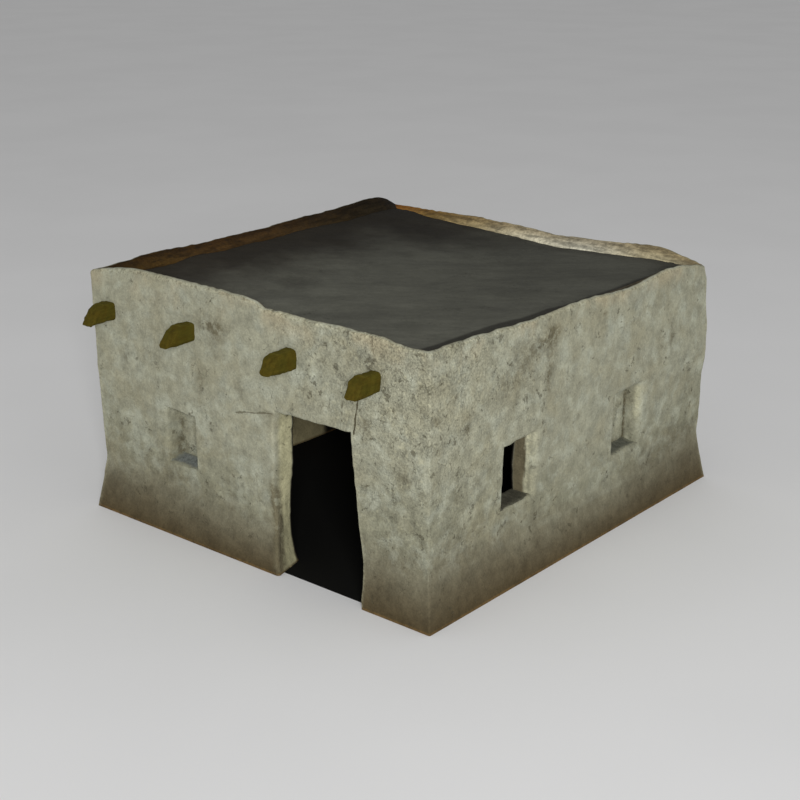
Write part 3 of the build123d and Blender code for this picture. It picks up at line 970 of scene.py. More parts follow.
def build_filling(name, wall, finish):
    """A mud panel that closes the back of a blind window, uneven on both faces."""
    left, right, sill, head = OPENINGS[wall][name]
    along = np.linspace(left - 0.04, right + 0.04, 26)
    height = np.linspace(sill - 0.035, head + 0.035, 32)
    along, height = np.meshgrid(along, height, indexing="ij")
    flat = place_on(wall, along, 0 * along, height)
    outside = RECESS + swell(flat, 71, 0.12, 0.5, 0.004) + swell(flat, 72, 0.04, 0.1, 0.0012)
    inside = WALL_THICKNESS - 0.006 + swell(flat, 73, 0.12, 0.5, 0.003)
    outer, inner = (place_on(wall, along, depth, height) for depth in (outside, inside))
    # Painted shade on the panel: darker down its inner corner beside one reveal, more so lower
    # down, and along the sill.
    lower = 1 - 0.8 * ease(0.60, 0.95, (height - sill) / (head - sill))
    dark_side, spread, strength = (left, 0.09, 0.75) if wall == "front" else (right, 0.014, 2.2)
    stain_and_shade = strength * hill(along, dark_side, spread) * lower
    stain_and_shade = stain_and_shade + 0.5 * hill(height, sill + 0.02, 0.05)
    values = {"stain_and_shade": stain_and_shade, "pitted": 0.4, "damp_reach": 0.45, "below_crest": FAR}
    return make_slab(name + "_panel", outer, inner, 2, finish, name + "_infill", values)


# How much mud is washed over the edges of each sill, and how far it rises inwards
SILLS = {
    "front_window": (1.1, 0.062),
    "near_side_window": (0.2, 0.014),
    "far_side_window": (0.85, 0.030),
}


def build_sill(name, wall, finish):
    """A slate sill: a slab that falls outwards a little to the rounded face of the wall, with an
    uneven outer edge. Its faces run from the wall's face to the back of the wall."""
    left, right, sill, _ = OPENINGS[wall][name]
    along = np.linspace(left - 0.03, right + 0.03, 48)
    inward = lines(0.0, 1.0, [0.0], 0.06, (0.0, 0.01, 0.025, 0.05))
    along, share = np.meshgrid(along, inward, indexing="ij")
    face = place_on(wall, along, 0 * along, sill + 0 * along)
    low_radius, high_radius = EDGE_RADII[name]
    across = np.clip((along - left) / (right - left), 0, 1)
    radius = low_radius + (high_radius - low_radius) * across
    start = 0.55 * radius - bulge(face) + swell(face, 81, 0.04, 0.16, 0.0015)
    depth = start + (WALL_THICKNESS - 0.004 - start) * share
    flat = place_on(wall, along, depth, sill + 0 * along)
    washed, sill_rise = SILLS[name]
    top = sill + 0.004 + sill_rise * share + swell(flat, 82, 0.05, 0.25, 0.0020)
    top = top - 0.006 * hill(share, 0, 0.04)
    outer, inner = (place_on(wall, along, depth, level) for level in (top, top - 0.036))
    side = np.minimum(along - left, right - along)
    edges = np.maximum(hill(share, 0, 0.12), 0.6 * hill(share, 0.80, 0.10))
    dust = washed * np.maximum(edges, hill(np.maximum(side, 0), 0, 0.05))
    values = {"dust": dust}
    return make_slab(name + "_slate", outer, inner, 3, finish, name + "_sill", values)


# ---------------------------------------------------------------- finishes


def add_node(tree, kind, inputs=None, **settings):
    """A shader node with its settings, and its inputs set or linked."""
    made = tree.nodes.new(kind)
    for key, value in settings.items():
        setattr(made, key, value)
    for key, value in (inputs or {}).items():
        if isinstance(value, bpy.types.NodeSocket):
            tree.links.new(value, made.inputs[key])
        else:
            made.inputs[key].default_value = value
    return made


def tree_of(*values):
    """The node tree of the first socket among some values."""
    return next(value.id_data for value in values if isinstance(value, bpy.types.NodeSocket))


def calc(operation, *values):
    """The result of a Math node."""
    tree, inputs = tree_of(*values), dict(enumerate(values))
    return add_node(tree, "ShaderNodeMath", inputs, operation=operation).outputs[0]


def times(first, second):
    """The product of two values."""
    return calc("MULTIPLY", first, second)


def plus(first, second):
    """The sum of two values."""
    return calc("ADD", first, second)


def minus(first, second):
    """The first value less the second."""
    return calc("SUBTRACT", first, second)


def lower_of(first, second):
    """The lower of two values."""
    return calc("MINIMUM", first, second)


def rise(value, low, high, start=0.0, stop=1.0):
    """A smooth step from start to stop while a value goes from low to high."""
    inputs = {"Value": value, "From Min": low, "From Max": high, "To Min": start, "To Max": stop}
    made = add_node(value.id_data, "ShaderNodeMapRange", inputs, interpolation_type="SMOOTHSTEP")
    return made.outputs[0]


def blend(share, under, over, kind="MIX"):
    """A colour laid over another by a share."""
    inputs, tree = {0: share, 6: under, 7: over}, tree_of(share, under, over)
    return add_node(tree, "ShaderNodeMix", inputs, data_type="RGBA", blend_type=kind).outputs[2]


def shaded(tone, level):
    """A colour made lighter or darker by a level round 1."""
    return blend(1.0, tone, level, "MULTIPLY")


def coat(base, share, tone, level=None):
    """A colour property laid over a base by a share, made lighter or darker by a level."""
    tone = solid(tone)
    return blend(share, base, tone if level is None else shaded(tone, level))


def noise(where, scale, detail=4.0, roughness=0.55, distortion=0.0, output=0):
    """A Noise Texture: its value, or another of its outputs."""
    inputs = {
        "Vector": where,
        "Scale": scale,
        "Detail": detail,
        "Roughness": roughness,
        "Distortion": distortion,
    }
    return add_node(where.id_data, "ShaderNodeTexNoise", inputs).outputs[output]


def vector(operation, first, second):
    """The result of a Vector Math node on two vectors."""
    inputs = {0: first, 1: second}
    made = add_node(first.id_data, "ShaderNodeVectorMath", inputs, operation=operation)
    return made.outputs["Value" if operation == "DOT_PRODUCT" else "Vector"]


def stretched(way, scale):
    """A vector made longer or shorter."""
    inputs = {0: way, "Scale": scale}
    return add_node(way.id_data, "ShaderNodeVectorMath", inputs, operation="SCALE").outputs[0]


def strayed(where, scale, detail, reach):
    """Coordinates that wander by a noise, so that lines drawn on them are ragged."""
    centred = vector("SUBTRACT", noise(where, scale, detail, 0.65, output="Color"), (0.5, 0.5, 0.5))
    return vector("ADD", where, stretched(centred, reach))


def placed(where, scale=(1.0, 1.0, 1.0), turn=(0, 0, 0), centre=(0, 0, 0)):
    """Coordinates stretched, turned and moved by a Mapping node."""
    inputs = {"Vector": where, "Location": centre, "Rotation": turn, "Scale": scale}
    return add_node(where.id_data, "ShaderNodeMapping", inputs, vector_type="POINT").outputs[0]


def parts_of(where):
    """The x, y and z of coordinates."""
    return add_node(where.id_data, "ShaderNodeSeparateXYZ", {0: where}).outputs


def value_of(where, key, output="Fac"):
    """The share, or the colour, that a piece keeps at each point under this name."""
    return add_node(where.id_data, "ShaderNodeAttribute", attribute_name=key).outputs[output]


def solid(tone):
    """A colour property as a shader colour."""
    return (*tone, 1.0)


def new_group(name, inputs, outputs=("Mask",)):
    """An empty shader node group: what it is given and what it has to give. Where, Start and Stop
    are places, and all the others are numbers."""
    tree = bpy.data.node_groups.new(name, "ShaderNodeTree")
    for key in inputs:
        kind = "NodeSocketVector" if key in ("Where", "Start", "Stop") else "NodeSocketFloat"
        tree.interface.new_socket(key, in_out="INPUT", socket_type=kind)
    for key in outputs:
        tree.interface.new_socket(key, in_out="OUTPUT", socket_type="NodeSocketFloat")
    return tree.nodes.new("NodeGroupInput").outputs, tree.nodes.new("NodeGroupOutput").inputs


def link(ends, **values):
    """Link values to the inputs of these names."""
    for key, value in values.items():
        value.id_data.links.new(value, ends[key.replace("_", " ")])


def use_group(name, **inputs):
    """A shader node group placed in a material, with its own values."""
    group = bpy.data.node_groups[name]
    values = {key.replace("_", " "): value for key, value in inputs.items()}
    return add_node(inputs["Where"].id_data, "ShaderNodeGroup", values, node_tree=group).outputs


def mud_grain(where, mottle_scale, closeness, speck_scale, speck_share):
    """The shared mud grain, placed in a material."""
    return use_group("mud_grain", Where=where, Mottle_Scale=mottle_scale, Closeness=closeness,
                     Speck_Scale=speck_scale, Speck_Share=speck_share)


def blotches(where, scale, low, high):
    """The shared soft patches, placed in a material."""
    return use_group("blotches", Where=where, Scale=scale, Low=low, High=high)["Mask"]


def make_mud_grain():
    """Group: the close texture of mud. Mottle is soft light and dark at two sizes, Specks are small
    dark holes where straw and gravel fell out, Height joins both for a bump."""
    inputs = ("Where", "Mottle Scale", "Closeness", "Speck Scale", "Speck Share")
    start, end = new_group("mud_grain", inputs, ("Mottle", "Specks", "Height"))
    where = start["Where"]
    soft = noise(where, start["Mottle Scale"], 8.0, 0.70)
    close = noise(where, times(start["Mottle Scale"], 6.5), 2.0, 0.70)
    mottle = plus(soft, times(minus(close, soft), start["Closeness"]))
    dots = noise(where, start["Speck Scale"], 5.0, 0.74, 0.3)
    few = noise(where, 4.0, 3.0, 0.6)
    gate = minus(0.865, times(start["Speck Share"], 0.075))
    sum_up = plus(dots, times(few, 0.45))
    specks = rise(minus(sum_up, gate), 0.0, 0.10)
    link(end, Mottle=mottle, Specks=specks, Height=minus(mottle, times(specks, 0.35)))


def make_hairlines():
    """Group: thin ragged cracks that branch like drying mud. They follow the borders of cells and
    stay only in patches, which Share widens. Width sets how broad the line is."""
    start, end = new_group("hairlines", ("Where", "Scale", "Width", "Share"))
    where, scale = start["Where"], start["Scale"]
    moved = strayed(where, 14.0, 4.0, 0.10)
    cell_inputs = {"Vector": moved, "Scale": times(scale, 2.0)}
    cells = add_node(where.id_data, "ShaderNodeTexVoronoi", cell_inputs, feature="DISTANCE_TO_EDGE")
    away = calc("DIVIDE", cells.outputs["Distance"], start["Width"])
    line = minus(1.0, rise(away, 0.25, 1.0))
    patch = noise(where, times(scale, 1.3), 4.0, 0.65)
    chosen = rise(plus(patch, times(start["Share"], 0.13)), 0.58, 0.74)
    link(end, Mask=times(line, chosen))


def make_blotches():
    """Group: patches with soft borders, where a noise passes from Low to High."""
    start, end = new_group("blotches", ("Where", "Scale", "Low", "High"))
    patch = noise(start["Where"], start["Scale"], 6.0, 0.6, 0.3)
    link(end, Mask=rise(patch, start["Low"], start["High"]))


def make_timber_grain():
    """Group: wood with its length along Z: Grain is fine dark and light streaks, Knots are darker
    blots, Height joins both for a bump."""
    start, end = new_group("timber_grain", ("Where", "Scale"), ("Grain", "Knots", "Height"))
    drawn = placed(start["Where"], (1.0, 1.0, 0.14))
    fibres = noise(drawn, start["Scale"], 7.0, 0.65, 0.4)
    blots = rise(noise(start["Where"], 9.0, 3.0, 0.5), 0.56, 0.72)
    link(end, Grain=fibres, Knots=blots, Height=minus(fibres, times(blots, 0.3)))


def make_crack():
    """Group: a ragged crack from Start to Stop, on faces within reach of its plane."""
    start, end = new_group("crack", ("Where", "Start", "Stop", "Half Width"))
    where, first, last = (start[key] for key in ("Where", "Start", "Stop"))
    from_start = vector("SUBTRACT", strayed(where, 9.0, 5.0, 0.05), first)
    run = vector("SUBTRACT", last, first)
    dot, square = (vector("DOT_PRODUCT", way, run) for way in (from_start, run))
    clamped = {"Value": calc("DIVIDE", dot, square)}
    share = add_node(where.id_data, "ShaderNodeClamp", clamped).outputs[0]
    gap = vector("SUBTRACT", from_start, stretched(run, share))
    parts = parts_of(gap)
    along, up = (calc("POWER", parts[n], 2.0) for n in (0, 2))
    across = calc("SQRT", plus(along, up))
    uneven = rise(noise(where, 14.0, 2.0), 0.35, 0.65, 0.5, 1.5)
    thick = times(start["Half Width"], uneven)
    line = minus(1.0, rise(calc("DIVIDE", across, thick), 0.5, 1.3))
    near = rise(calc("ABSOLUTE", parts[1]), 0.08, 0.16, 1.0, 0.0)
    link(end, Mask=times(line, near))


def new_finish(name, roughness, specular):
    """A material with a Principled shader; gives it, its shader and its Object coordinates."""
    finish = bpy.data.materials.new(name)
    finish.use_nodes = True
    tree = finish.node_tree
    shader = tree.nodes["Principled BSDF"]
    shader.inputs["Roughness"].default_value = roughness
    shader.inputs["Specular IOR Level"].default_value = specular
    return finish, shader, add_node(tree, "ShaderNodeTexCoord").outputs["Object"]


def set_looks(shader, base, height, distance):
    """Link a base colour and a bump from a height into a shader."""
    inputs = {"Height": height, "Distance": distance, "Strength": 1.0}
    bump = add_node(shader.id_data, "ShaderNodeBump", inputs)
    link(shader.inputs, Base_Color=base, Normal=bump.outputs[0])


def tone_run(value, stops):
    """Colours read from a value that goes through stops of (place, colour)."""
    ramp = add_node(value.id_data, "ShaderNodeValToRGB", {"Fac": value})
    elements = ramp.color_ramp.elements
    elements[0].position, elements[0].color = stops[0][0], solid(stops[0][1])
    elements[1].position, elements[1].color = stops[-1][0], solid(stops[-1][1])
    for place, tone in stops[1:-1]:
        elements.new(place).color = solid(tone)
    return ramp.outputs["Color"]


def damp_run(where):
    """The mud's own colour: dark and damp at the foot, drying upwards to a ragged border."""
    tone, high = colours(), parts_of(where)[2]
    stray = minus(noise(where, 2.4, 7.0, 0.68), 0.5)
    foot = plus(high, times(stray, times(high, 1.1)))
    foot = calc("DIVIDE", foot, times(value_of(where, "damp_reach"), 3.0))
    return tone_run(foot, (
        (0.0, tone.foot),
        (0.17, tone.damp),
        (0.34, tone.drying),
        (0.57, tone.splashed),
        (1.0, tone.mud),
    ))


def washed_patches(where, base, above, mottle, level):
    """Chalky and warm patches above the damp foot, and the pale patches given at each point, which
    at the blind windows' heads are painted light.
    """
    tone = colours()
    chalk_and_painted_light = times(times(blotches(where, 4.5, 0.44, 0.66), 0.50), above)
    chalk_and_painted_light = lower_of(plus(chalk_and_painted_light, times(value_of(where, "pale"), 0.55)), 0.9)
    base = coat(base, chalk_and_painted_light, tone.mud_chalk, mottle)
    warm = blotches(placed(where, centre=(7, 3, 5)), 2.2, 0.46, 0.66)
    warm = times(times(warm, 0.42), above)
    return coat(base, warm, tone.mud_warm, level)


def reveals_and_room(where, base, level):
    """Greenish cream on the doorway's left reveal, brown within the open window as dirt and painted
    shade, and the room's mud, which a near-black painted shade darkens."""
    tone = colours()
    base = coat(base, times(value_of(where, "reveal"), 0.9), tone.reveal, level)
    base = coat(base, value_of(where, "brown"), tone.inner_reveal_dirt_and_shade, level)
    # The room's mud under its near-black painted shade.
    room = coat(solid(tone.room), value_of(where, "painted_shade"), tone.soot_and_shade)
    return blend(value_of(where, "room"), base, shaded(room, level))


def stains_and_dirt(where, base, stain, hairs, specks, mottle):
    """Uneven stains and painted shade, then dirt in the hairlines and the specks."""
    tone = colours()
    uneven = rise(noise(where, 11.0, 6.0, 0.72), 0.38, 0.60, 0.15, 1.50)
    stain_and_shade = lower_of(times(stain, uneven), 1.0)
    base = coat(base, times(stain_and_shade, 0.88), tone.stain_and_shade, mottle)
    dirt = calc("MAXIMUM", times(hairs, 0.34), times(specks, 0.65))
    return coat(base, dirt, tone.hairline)


def worn_and_highlit_edges(where, base, flecked, mottle):
    """Cream flecks where the mud is pitted, and ragged cream edges, partly wear and partly painted
    highlight.
    """
    tone = colours()
    flecks = rise(noise(placed(where, centre=(3, 8, 1)), 20.0, 1.0), 0.64, 0.74)
    base = coat(base, times(flecks, flecked), tone.cream)
    ragged = rise(noise(where, 30.0, 4.0, 0.65), 0.38, 0.60, 0.30, 1.0)
    # Cream on worn edges, some of it a painted highlight.
    worn = lower_of(times(value_of(where, "worn"), ragged), 1.0)
    return coat(base, worn, tone.cream, mottle)


def crest_and_foot(where, base, grain, mottle):
    """A sandy band with a cream edge and small holes under the crest, ochre earth at the foot."""
    tone, below, high = colours(), value_of(where, "below_crest"), parts_of(where)[2]
    crumbs = rise(noise(where, 34.0, 3.0, 0.6), 0.46, 0.58)
    edge = rise(below, 0.008, 0.045, 1.0, 0.0)
    edge = times(edge, rise(crumbs, 0.0, 1.0, 0.25, 0.95))
    sandy = rise(below, 0.02, 0.30, 0.60, 0.0)
    sandy = times(sandy, rise(noise(where, 1.7, 3.0), 0.42, 0.60))
    base = coat(base, sandy, tone.crest_tan, mottle)
    base = coat(base, times(edge, 0.40), tone.cream, mottle)
    holes = noise(placed(where, centre=(5, 2, 9)), 30.0, 3.0, 0.65)
    holes = times(rise(holes, 0.50, 0.62), rise(below, 0.0, 0.07, 0.60, 0.0))
    base = coat(base, holes, tone.stain_and_shade)
    ochre = rise(high, 0.008, 0.035, 0.70, 0.0)
    ochre = times(ochre, rise(grain["Mottle"], 0.40, 0.60, 0.4, 1.0))
    return coat(base, ochre, tone.foot_line)


def slope_coat(where):
    """The parapets' inner slopes: the colour given at each point, with dark blots, streaks that
    run level along the walls, and grains."""
    tint = value_of(where, "slope_tint", "Color")
    blots = blotches(where, 15.0, 0.47, 0.62)
    tint = coat(tint, times(blots, 0.30), colours().soot_and_shade)
    laid = placed(where, (0.09, 0.09, 1.0), centre=(2, 6, 4))
    streaks = rise(noise(laid, 34.0, 4.0, 0.62), 0.38, 0.60, 0.66, 1.22)
    grains = rise(noise(where, 30.0, 5.0, 0.72), 0.36, 0.64, 0.78, 1.22)
    return shaded(tint, times(streaks, grains))


# Cracks beside the doorway's head: from, to, half width, and how dark
CRACK_FACE = float(PLAN_LOW[1]) - 0.02
CRACKS = (
    ((PLAN_LOW[0] + 2.22, CRACK_FACE, 1.655), (PLAN_LOW[0] + 2.72, CRACK_FACE, 1.755), 0.011, 0.68),
    ((PLAN_LOW[0] + 3.895, CRACK_FACE, 2.28), (PLAN_LOW[0] + 3.835, CRACK_FACE, 1.80), 0.011, 1.00),
)


def plaster_finish(name):
    """Weathered mud plaster of the walls and the blind windows: mottled, with hairlines and specks,
    damp and brown along the foot, cream on worn edges that in places is a painted highlight, with
    cracks by the doorway, painted shade in the blind windows' inner corners and inside the open
    window, and painted near-black shade in the room."""
    finish, shader, where = new_finish(name, 0.95, 0.12)
    pitted, stain = value_of(where, "pitted"), value_of(where, "stain_and_shade")
    grain = mud_grain(where, 7.0, plus(times(pitted, 0.22), 0.30), 12.0, pitted)
    strength = plus(times(pitted, 1.9), 1.45)
    mottle = plus(times(minus(grain["Mottle"], 0.5), strength), 0.985)
    lit = rise(noise(where, 1.2, 4.0, 0.55), 0.34, 0.66, 0.955, 1.045)
    level = times(lit, mottle)
    above = rise(parts_of(where)[2], 0.35, 0.8)
    cracked = plus(pitted, times(stain, 0.9))
    hairs = use_group("hairlines", Where=where, Scale=3.6, Width=0.055, Share=cracked)["Mask"]

    base = shaded(damp_run(where), level)
    base = washed_patches(where, base, above, mottle, level)
    base = reveals_and_room(where, base, level)
    base = stains_and_dirt(where, base, stain, hairs, grain["Specks"], mottle)
    base = worn_and_highlit_edges(where, base, times(pitted, times(above, 0.55)), mottle)
    base = crest_and_foot(where, base, grain, mottle)
    base = blend(value_of(where, "slope"), base, slope_coat(where))
    for start, stop, half_width, depth in CRACKS:
        crack = use_group("crack", Where=where, Start=start, Stop=stop, Half_Width=half_width)
        base = coat(base, times(crack["Mask"], depth), colours().hairline)
    set_looks(shader, base, minus(grain["Height"], times(hairs, 0.25)), 0.012)
    return finish


def roof_finish():
    """Smoothed dark mud with soft clouds and faint trowel streaks, brown and darker towards the
    left and back walls, with a painted shade line along the right wall."""
    tone = colours()
    finish, shader, where = new_finish("roof_mud_coat", 0.9, 0.15)
    grain = mud_grain(where, 16.0, 0.5, 30.0, 0.5)
    x, y, _ = parts_of(where)
    turned = placed(where, turn=(0, 0, -math.radians(40)))
    streaks = noise(placed(turned, (1.6, 6.0, 1.0)), 1.0, 7.0, 0.66, 0.5)
    cloud = noise(where, 1.3, 5.0, 0.58)
    level = rise(streaks, 0.32, 0.68, 0.89, 1.10)
    level = times(level, rise(cloud, 0.35, 0.65, 0.88, 1.10))
    level = times(level, rise(grain["Mottle"], 0.34, 0.66, 0.88, 1.11))
    level = times(level, rise(y, -2.6, 2.2, 1.10, 0.74))
    base = shaded(solid(tone.roof_grey), level)

    stray = times(minus(cloud, 0.5), 1.3)
    from_left = plus(minus(x, float(PLAN_LOW[0])), stray)
    from_back = plus(minus(float(PLAN_HIGH[1]), y), stray)
    squares = [calc("POWER", side, 2.0) for side in (from_left, from_back)]
    from_corner = calc("SQRT", plus(*squares))
    left = rise(from_left, 0.45, 2.05, 1.0, 0.0)
    corner = rise(from_corner, 0.9, 3.1, 1.0, 0.0)
    back = rise(from_back, 0.15, 0.75, 0.40, 0.0)
    stain = calc("MAXIMUM", calc("MAXIMUM", left, corner), back)
    base = coat(base, stain, tone.roof_brown, level)
    base = coat(base, times(grain["Specks"], 0.5), tone.roof_brown)

    # Painted shade: a dark line on the roof along the right parapet, wider towards the front.
    from_right = minus(float(PLAN_HIGH[0]) - sizes().parapet_foot, x)
    reach = rise(y, -2.5, 1.2, 0.24, 0.02)
    line = rise(minus(from_right, reach), 0.0, 0.06, 0.7, 0.0)
    base = coat(base, line, tone.soot_and_shade)
    height = plus(times(streaks, 0.4), times(grain["Height"], 0.6))
    set_looks(shader, base, height, 0.010)
    return finish


def log_finish():
    """Weathered olive wood of the roof logs: rusty in patches and towards the ends, dark in the
    grain, and painted lighter on top as painted light, so that the less lit tops match the sides."""
    tone = colours()
    finish, shader, where = new_finish("olive_log", 0.9, 0.04)
    laid = placed(where, turn=(math.radians(90), 0, 0))
    grain = use_group("timber_grain", Where=laid, Scale=34.0)
    patch = blotches(where, 9.0, 0.40, 0.66)
    base = coat(solid(tone.log_olive), times(patch, 0.5), tone.log_rust)
    base = coat(base, times(value_of(where, "tip"), 0.35), tone.log_rust)
    base = shaded(base, rise(grain["Grain"], 0.32, 0.68, 0.84, 1.14))
    base = coat(base, times(grain["Knots"], 0.22), tone.log_dark)
    # Painted light: the tops made lighter against the lesser light that falls on them.
    base = coat(base, times(value_of(where, "crown"), 0.9), tone.log_top_painted_light)
    set_looks(shader, base, grain["Height"], 0.003)
    return finish


def timber_finish(name, tone, turn, scale, bump):
    """Weathered wood: grain along its length, darker knots and blots. turn lays the grain's length
    along the piece."""
    finish, shader, where = new_finish(name, 0.85, 0.2)
    grain = use_group("timber_grain", Where=placed(where, turn=turn), Scale=scale)
    dark = colours().log_dark
    base = coat(solid(dark), rise(grain["Grain"], 0.30, 0.68), tone)
    base = coat(base, times(grain["Knots"], 0.35), dark)
    base = coat(base, times(blotches(where, 16.0, 0.48, 0.66), 0.25), tone)
    set_looks(shader, base, grain["Height"], bump)
    return finish


def slate_finish(name, slate):
    """Dull slate with pale scuffs, and mud washed over its edges."""
    finish, shader, where = new_finish(name, 0.8, 0.2)
    grain = mud_grain(where, 14.0, 0.5, 34.0, 0.2)
    base = shaded(solid(slate), rise(grain["Mottle"], 0.36, 0.64, 0.60, 1.42))
    uneven = rise(noise(where, 24.0, 5.0, 0.65), 0.34, 0.62, 0.4, 1.3)
    dust = lower_of(times(value_of(where, "dust"), uneven), 1.0)
    base = coat(base, dust, colours().splashed)
    set_looks(shader, base, grain["Height"], 0.004)
    return finish


def floor_finish():
    """The pale studio floor, painted near-black inside the house as shade."""
    finish, shader, where = new_finish("studio_floor", 0.9, 0.1)
    shade = rise(noise(where, 0.3, 2.0), 0.3, 0.7)
    pale = blend(shade, (0.78, 0.78, 0.78, 1), (0.80, 0.80, 0.80, 1))
    # Painted shade: the floor inside the walls is near black.
    within = [
        calc("LESS_THAN", calc("ABSOLUTE", part), float(limit) - 0.02)
        for part, limit in zip(parts_of(where)[:2], PLAN_HIGH)
    ]
    dark = blend(times(*within), pale, (0.006, 0.006, 0.005, 1))
    link(shader.inputs, Base_Color=dark)
    return finish


# ---------------------------------------------------------------- operators


class BuildFinishes(bpy.types.Operator):
    """Make the shared effects that the finishes are mixed from"""

    bl_idname = "adobe_house.effects"
    bl_label = "Shared effects"

    def execute(self, context):
        make_mud_grain()
        make_hairlines()
        make_blotches()
        make_timber_grain()
        make_crack()
        return {"FINISHED"}


class BuildWalls(bpy.types.Operator):
    """Raise the four mud walls with their parapets, the doorway and the windows"""

    bl_idname = "adobe_house.walls"
    bl_label = "Mud walls"

    def execute(self, context):
        finish = plaster_finish("weathered_plaster")
        for wall in CORNERS:
            build_wall(wall, finish)
        return {"FINISHED"}


class BuildRoof(bpy.types.Operator):
    """Lay the mud roof between the parapets"""

    bl_idname = "adobe_house.roof"
    bl_label = "Mud roof"

    def execute(self, context):
        build_roof(roof_finish())
        return {"FINISHED"}


class BuildLogs(bpy.types.Operator):
    """Lay the roof logs through the front and back walls"""

    bl_idname = "adobe_house.logs"
    bl_label = "Roof logs"

    def execute(self, context):
        finish = log_finish()
        for name in LOGS:
            build_log(name, finish)
        return {"FINISHED"}


class BuildWindowParts(bpy.types.Operator):
    """Close the blind windows with mud panels and lay the slate sills"""

    bl_idname = "adobe_house.window_parts"
    bl_label = "Window panels and sills"

    def execute(self, context):
        tone, panel = colours(), plaster_finish("panel_mud")
        slates = {
            # The darker slate here is painted shade.
            "near_side_window": tone.slate,
            "far_side_window": tone.slate_grey,
            "front_window": tone.slate_blue,
        }
        for wall, openings in OPENINGS.items():
            for name in openings:
                if name in BLIND:
                    build_filling(name, wall, panel)
                if name != "doorway":
                    build_sill(name, wall, slate_finish(name + "_sill_slate", slates[name]))
        return {"FINISHED"}


class FinishTimber(bpy.types.Operator):
    """Finish the lintels over the openings and the ceiling poles"""

    bl_idname = "adobe_house.timber"
    bl_label = "Lintels and poles"

    def execute(self, context):
        tone, quarter = colours(), math.radians(90)
        crosswise, lengthwise = (0, quarter, 0), (quarter, 0, 0)
        lintel = timber_finish("hewn_lintel", tone.lintel_brown, crosswise, 26.0, 0.004)
        side = timber_finish("hewn_lintel_side", tone.lintel_brown, lengthwise, 26.0, 0.004)
        pole = timber_finish("peeled_pole", tone.pole_brown, crosswise, 34.0, 0.003)
        for name, node in frame["nodes"].items():
            if "lintel" not in name and "poles" not in name:
                continue
            node.data.materials.clear()
            chosen = pole if "poles" in name else side if "side_window" in name else lintel
            node.data.materials.append(chosen)
        return {"FINISHED"}


# The studio: half the floor's side, the sky's light on the house, the lamp and the camera
FLOOR_REACH = 260.0
SKY_LIGHT = 0.42
LAMP_STANDS = (26.5, -27.5, 14.4)
LAMP_SIZE = 9.0
LAMP_POWER = 12300.0
CAMERA_STANDS = (10.3718, -12.5027, 6.7950)
CAMERA_LOOKS_AT = (0.1161, -0.2962, 1.2375)
LENS = 66.60


def lay_floor(scene):
    """The pale floor, just under the ground face."""
    sides = ((-1, -1), (1, -1), (1, 1), (-1, 1))
    corners = [(x * FLOOR_REACH, y * FLOOR_REACH, -0.003) for x, y in sides]
    mesh = bpy.data.meshes.new("studio_floor")
    mesh.from_pydata(corners, [], [(0, 1, 2, 3)])
    mesh.materials.append(floor_finish())
    floor = bpy.data.objects.new("studio_floor", mesh)
    scene.collection.objects.link(floor)


def light_sky(scene):
    """A soft even light from all sides, which the camera sees as white."""
    world = bpy.data.worlds.new("studio_light")
    scene.world = world
    world.use_nodes = True
    tree = world.node_tree
    tree.nodes.clear()
    white = (1, 1, 1, 1)
    light = add_node(tree, "ShaderNodeBackground", {"Color": white, "Strength": SKY_LIGHT})
    backdrop = add_node(tree, "ShaderNodeBackground", {"Color": white, "Strength": 1.0})
    seen = add_node(tree, "ShaderNodeLightPath").outputs["Is Camera Ray"]
    both = {0: seen, 1: light.outputs[0], 2: backdrop.outputs[0]}
    mixed = add_node(tree, "ShaderNodeMixShader", both)
    out = add_node(tree, "ShaderNodeOutputWorld")
    link(out.inputs, Surface=mixed.outputs[0])


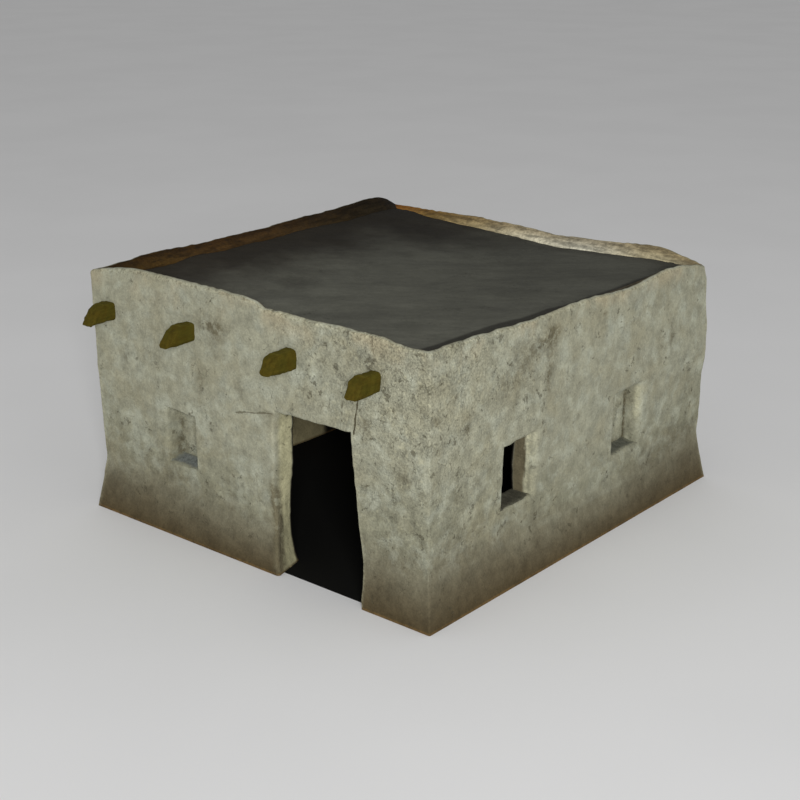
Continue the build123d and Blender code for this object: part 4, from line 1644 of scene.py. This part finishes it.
class BuildStage(bpy.types.Operator):
    """Set the pale floor, the soft light and the camera"""

    bl_idname = "adobe_house.stage"
    bl_label = "Studio"

    def execute(self, context):
        scene = context.scene
        lay_floor(scene)
        light_sky(scene)
        add_lamp("key_light", LAMP_STANDS, LAMP_SIZE, LAMP_POWER)
        data = bpy.data.cameras.new("camera")
        data.sensor_width, data.lens = 36.0, LENS
        data.clip_end = 600.0
        camera = bpy.data.objects.new("camera", data)
        scene.collection.objects.link(camera)
        aim(camera, CAMERA_STANDS, CAMERA_LOOKS_AT)
        scene.camera = camera
        scene.view_settings.view_transform = "Standard"
        return {"FINISHED"}


def aim(thing, stands, looks_at):
    """Put a lamp or camera at a point, looking at another."""
    thing.location = stands
    way = Vector(looks_at) - Vector(stands)
    thing.rotation_euler = way.to_track_quat("-Z", "Y").to_euler()


def add_lamp(name, stands, size, power):
    """A large square lamp that looks at the middle of the house."""
    data = bpy.data.lights.new(name, "AREA")
    data.shape, data.size, data.energy = "SQUARE", size, power
    lamp = bpy.data.objects.new(name, data)
    bpy.context.scene.collection.objects.link(lamp)
    aim(lamp, stands, (0, 0, 1.4))


class HousePanel(bpy.types.Panel):
    """Sizes, colours and steps of the adobe house"""

    bl_idname = "VIEW3D_PT_adobe_house"
    bl_label = "Adobe House"
    bl_space_type = "VIEW_3D"
    bl_region_type = "UI"
    bl_category = "Adobe House"

    def draw(self, context):
        layout = self.layout
        for group in (context.scene.adobe_house_sizes, context.scene.adobe_house_colours):
            box = layout.box()
            for key in group.__annotations__:
                box.prop(group, key)
        for step in STEPS:
            layout.operator(step.bl_idname)


STEPS = (
    BuildFinishes, BuildWalls, BuildRoof, BuildLogs, BuildWindowParts, FinishTimber, BuildStage,
)
CLASSES = (HouseSizes, HouseColours, *STEPS, HousePanel)


def register():
    """Register the classes and keep the sizes and colours in the scene."""
    for item in CLASSES:
        bpy.utils.register_class(item)
    bpy.types.Scene.adobe_house_sizes = PointerProperty(type=HouseSizes)
    bpy.types.Scene.adobe_house_colours = PointerProperty(type=HouseColours)


def unregister():
    """Take back what register added."""
    del bpy.types.Scene.adobe_house_sizes
    del bpy.types.Scene.adobe_house_colours
    for item in reversed(CLASSES):
        bpy.utils.unregister_class(item)


def main():
    """Build everything in order."""
    register()
    bpy.ops.adobe_house.effects()
    bpy.ops.adobe_house.walls()
    bpy.ops.adobe_house.roof()
    bpy.ops.adobe_house.logs()
    bpy.ops.adobe_house.window_parts()
    bpy.ops.adobe_house.timber()
    bpy.ops.adobe_house.stage()


if __name__ == "__main__":
    main()
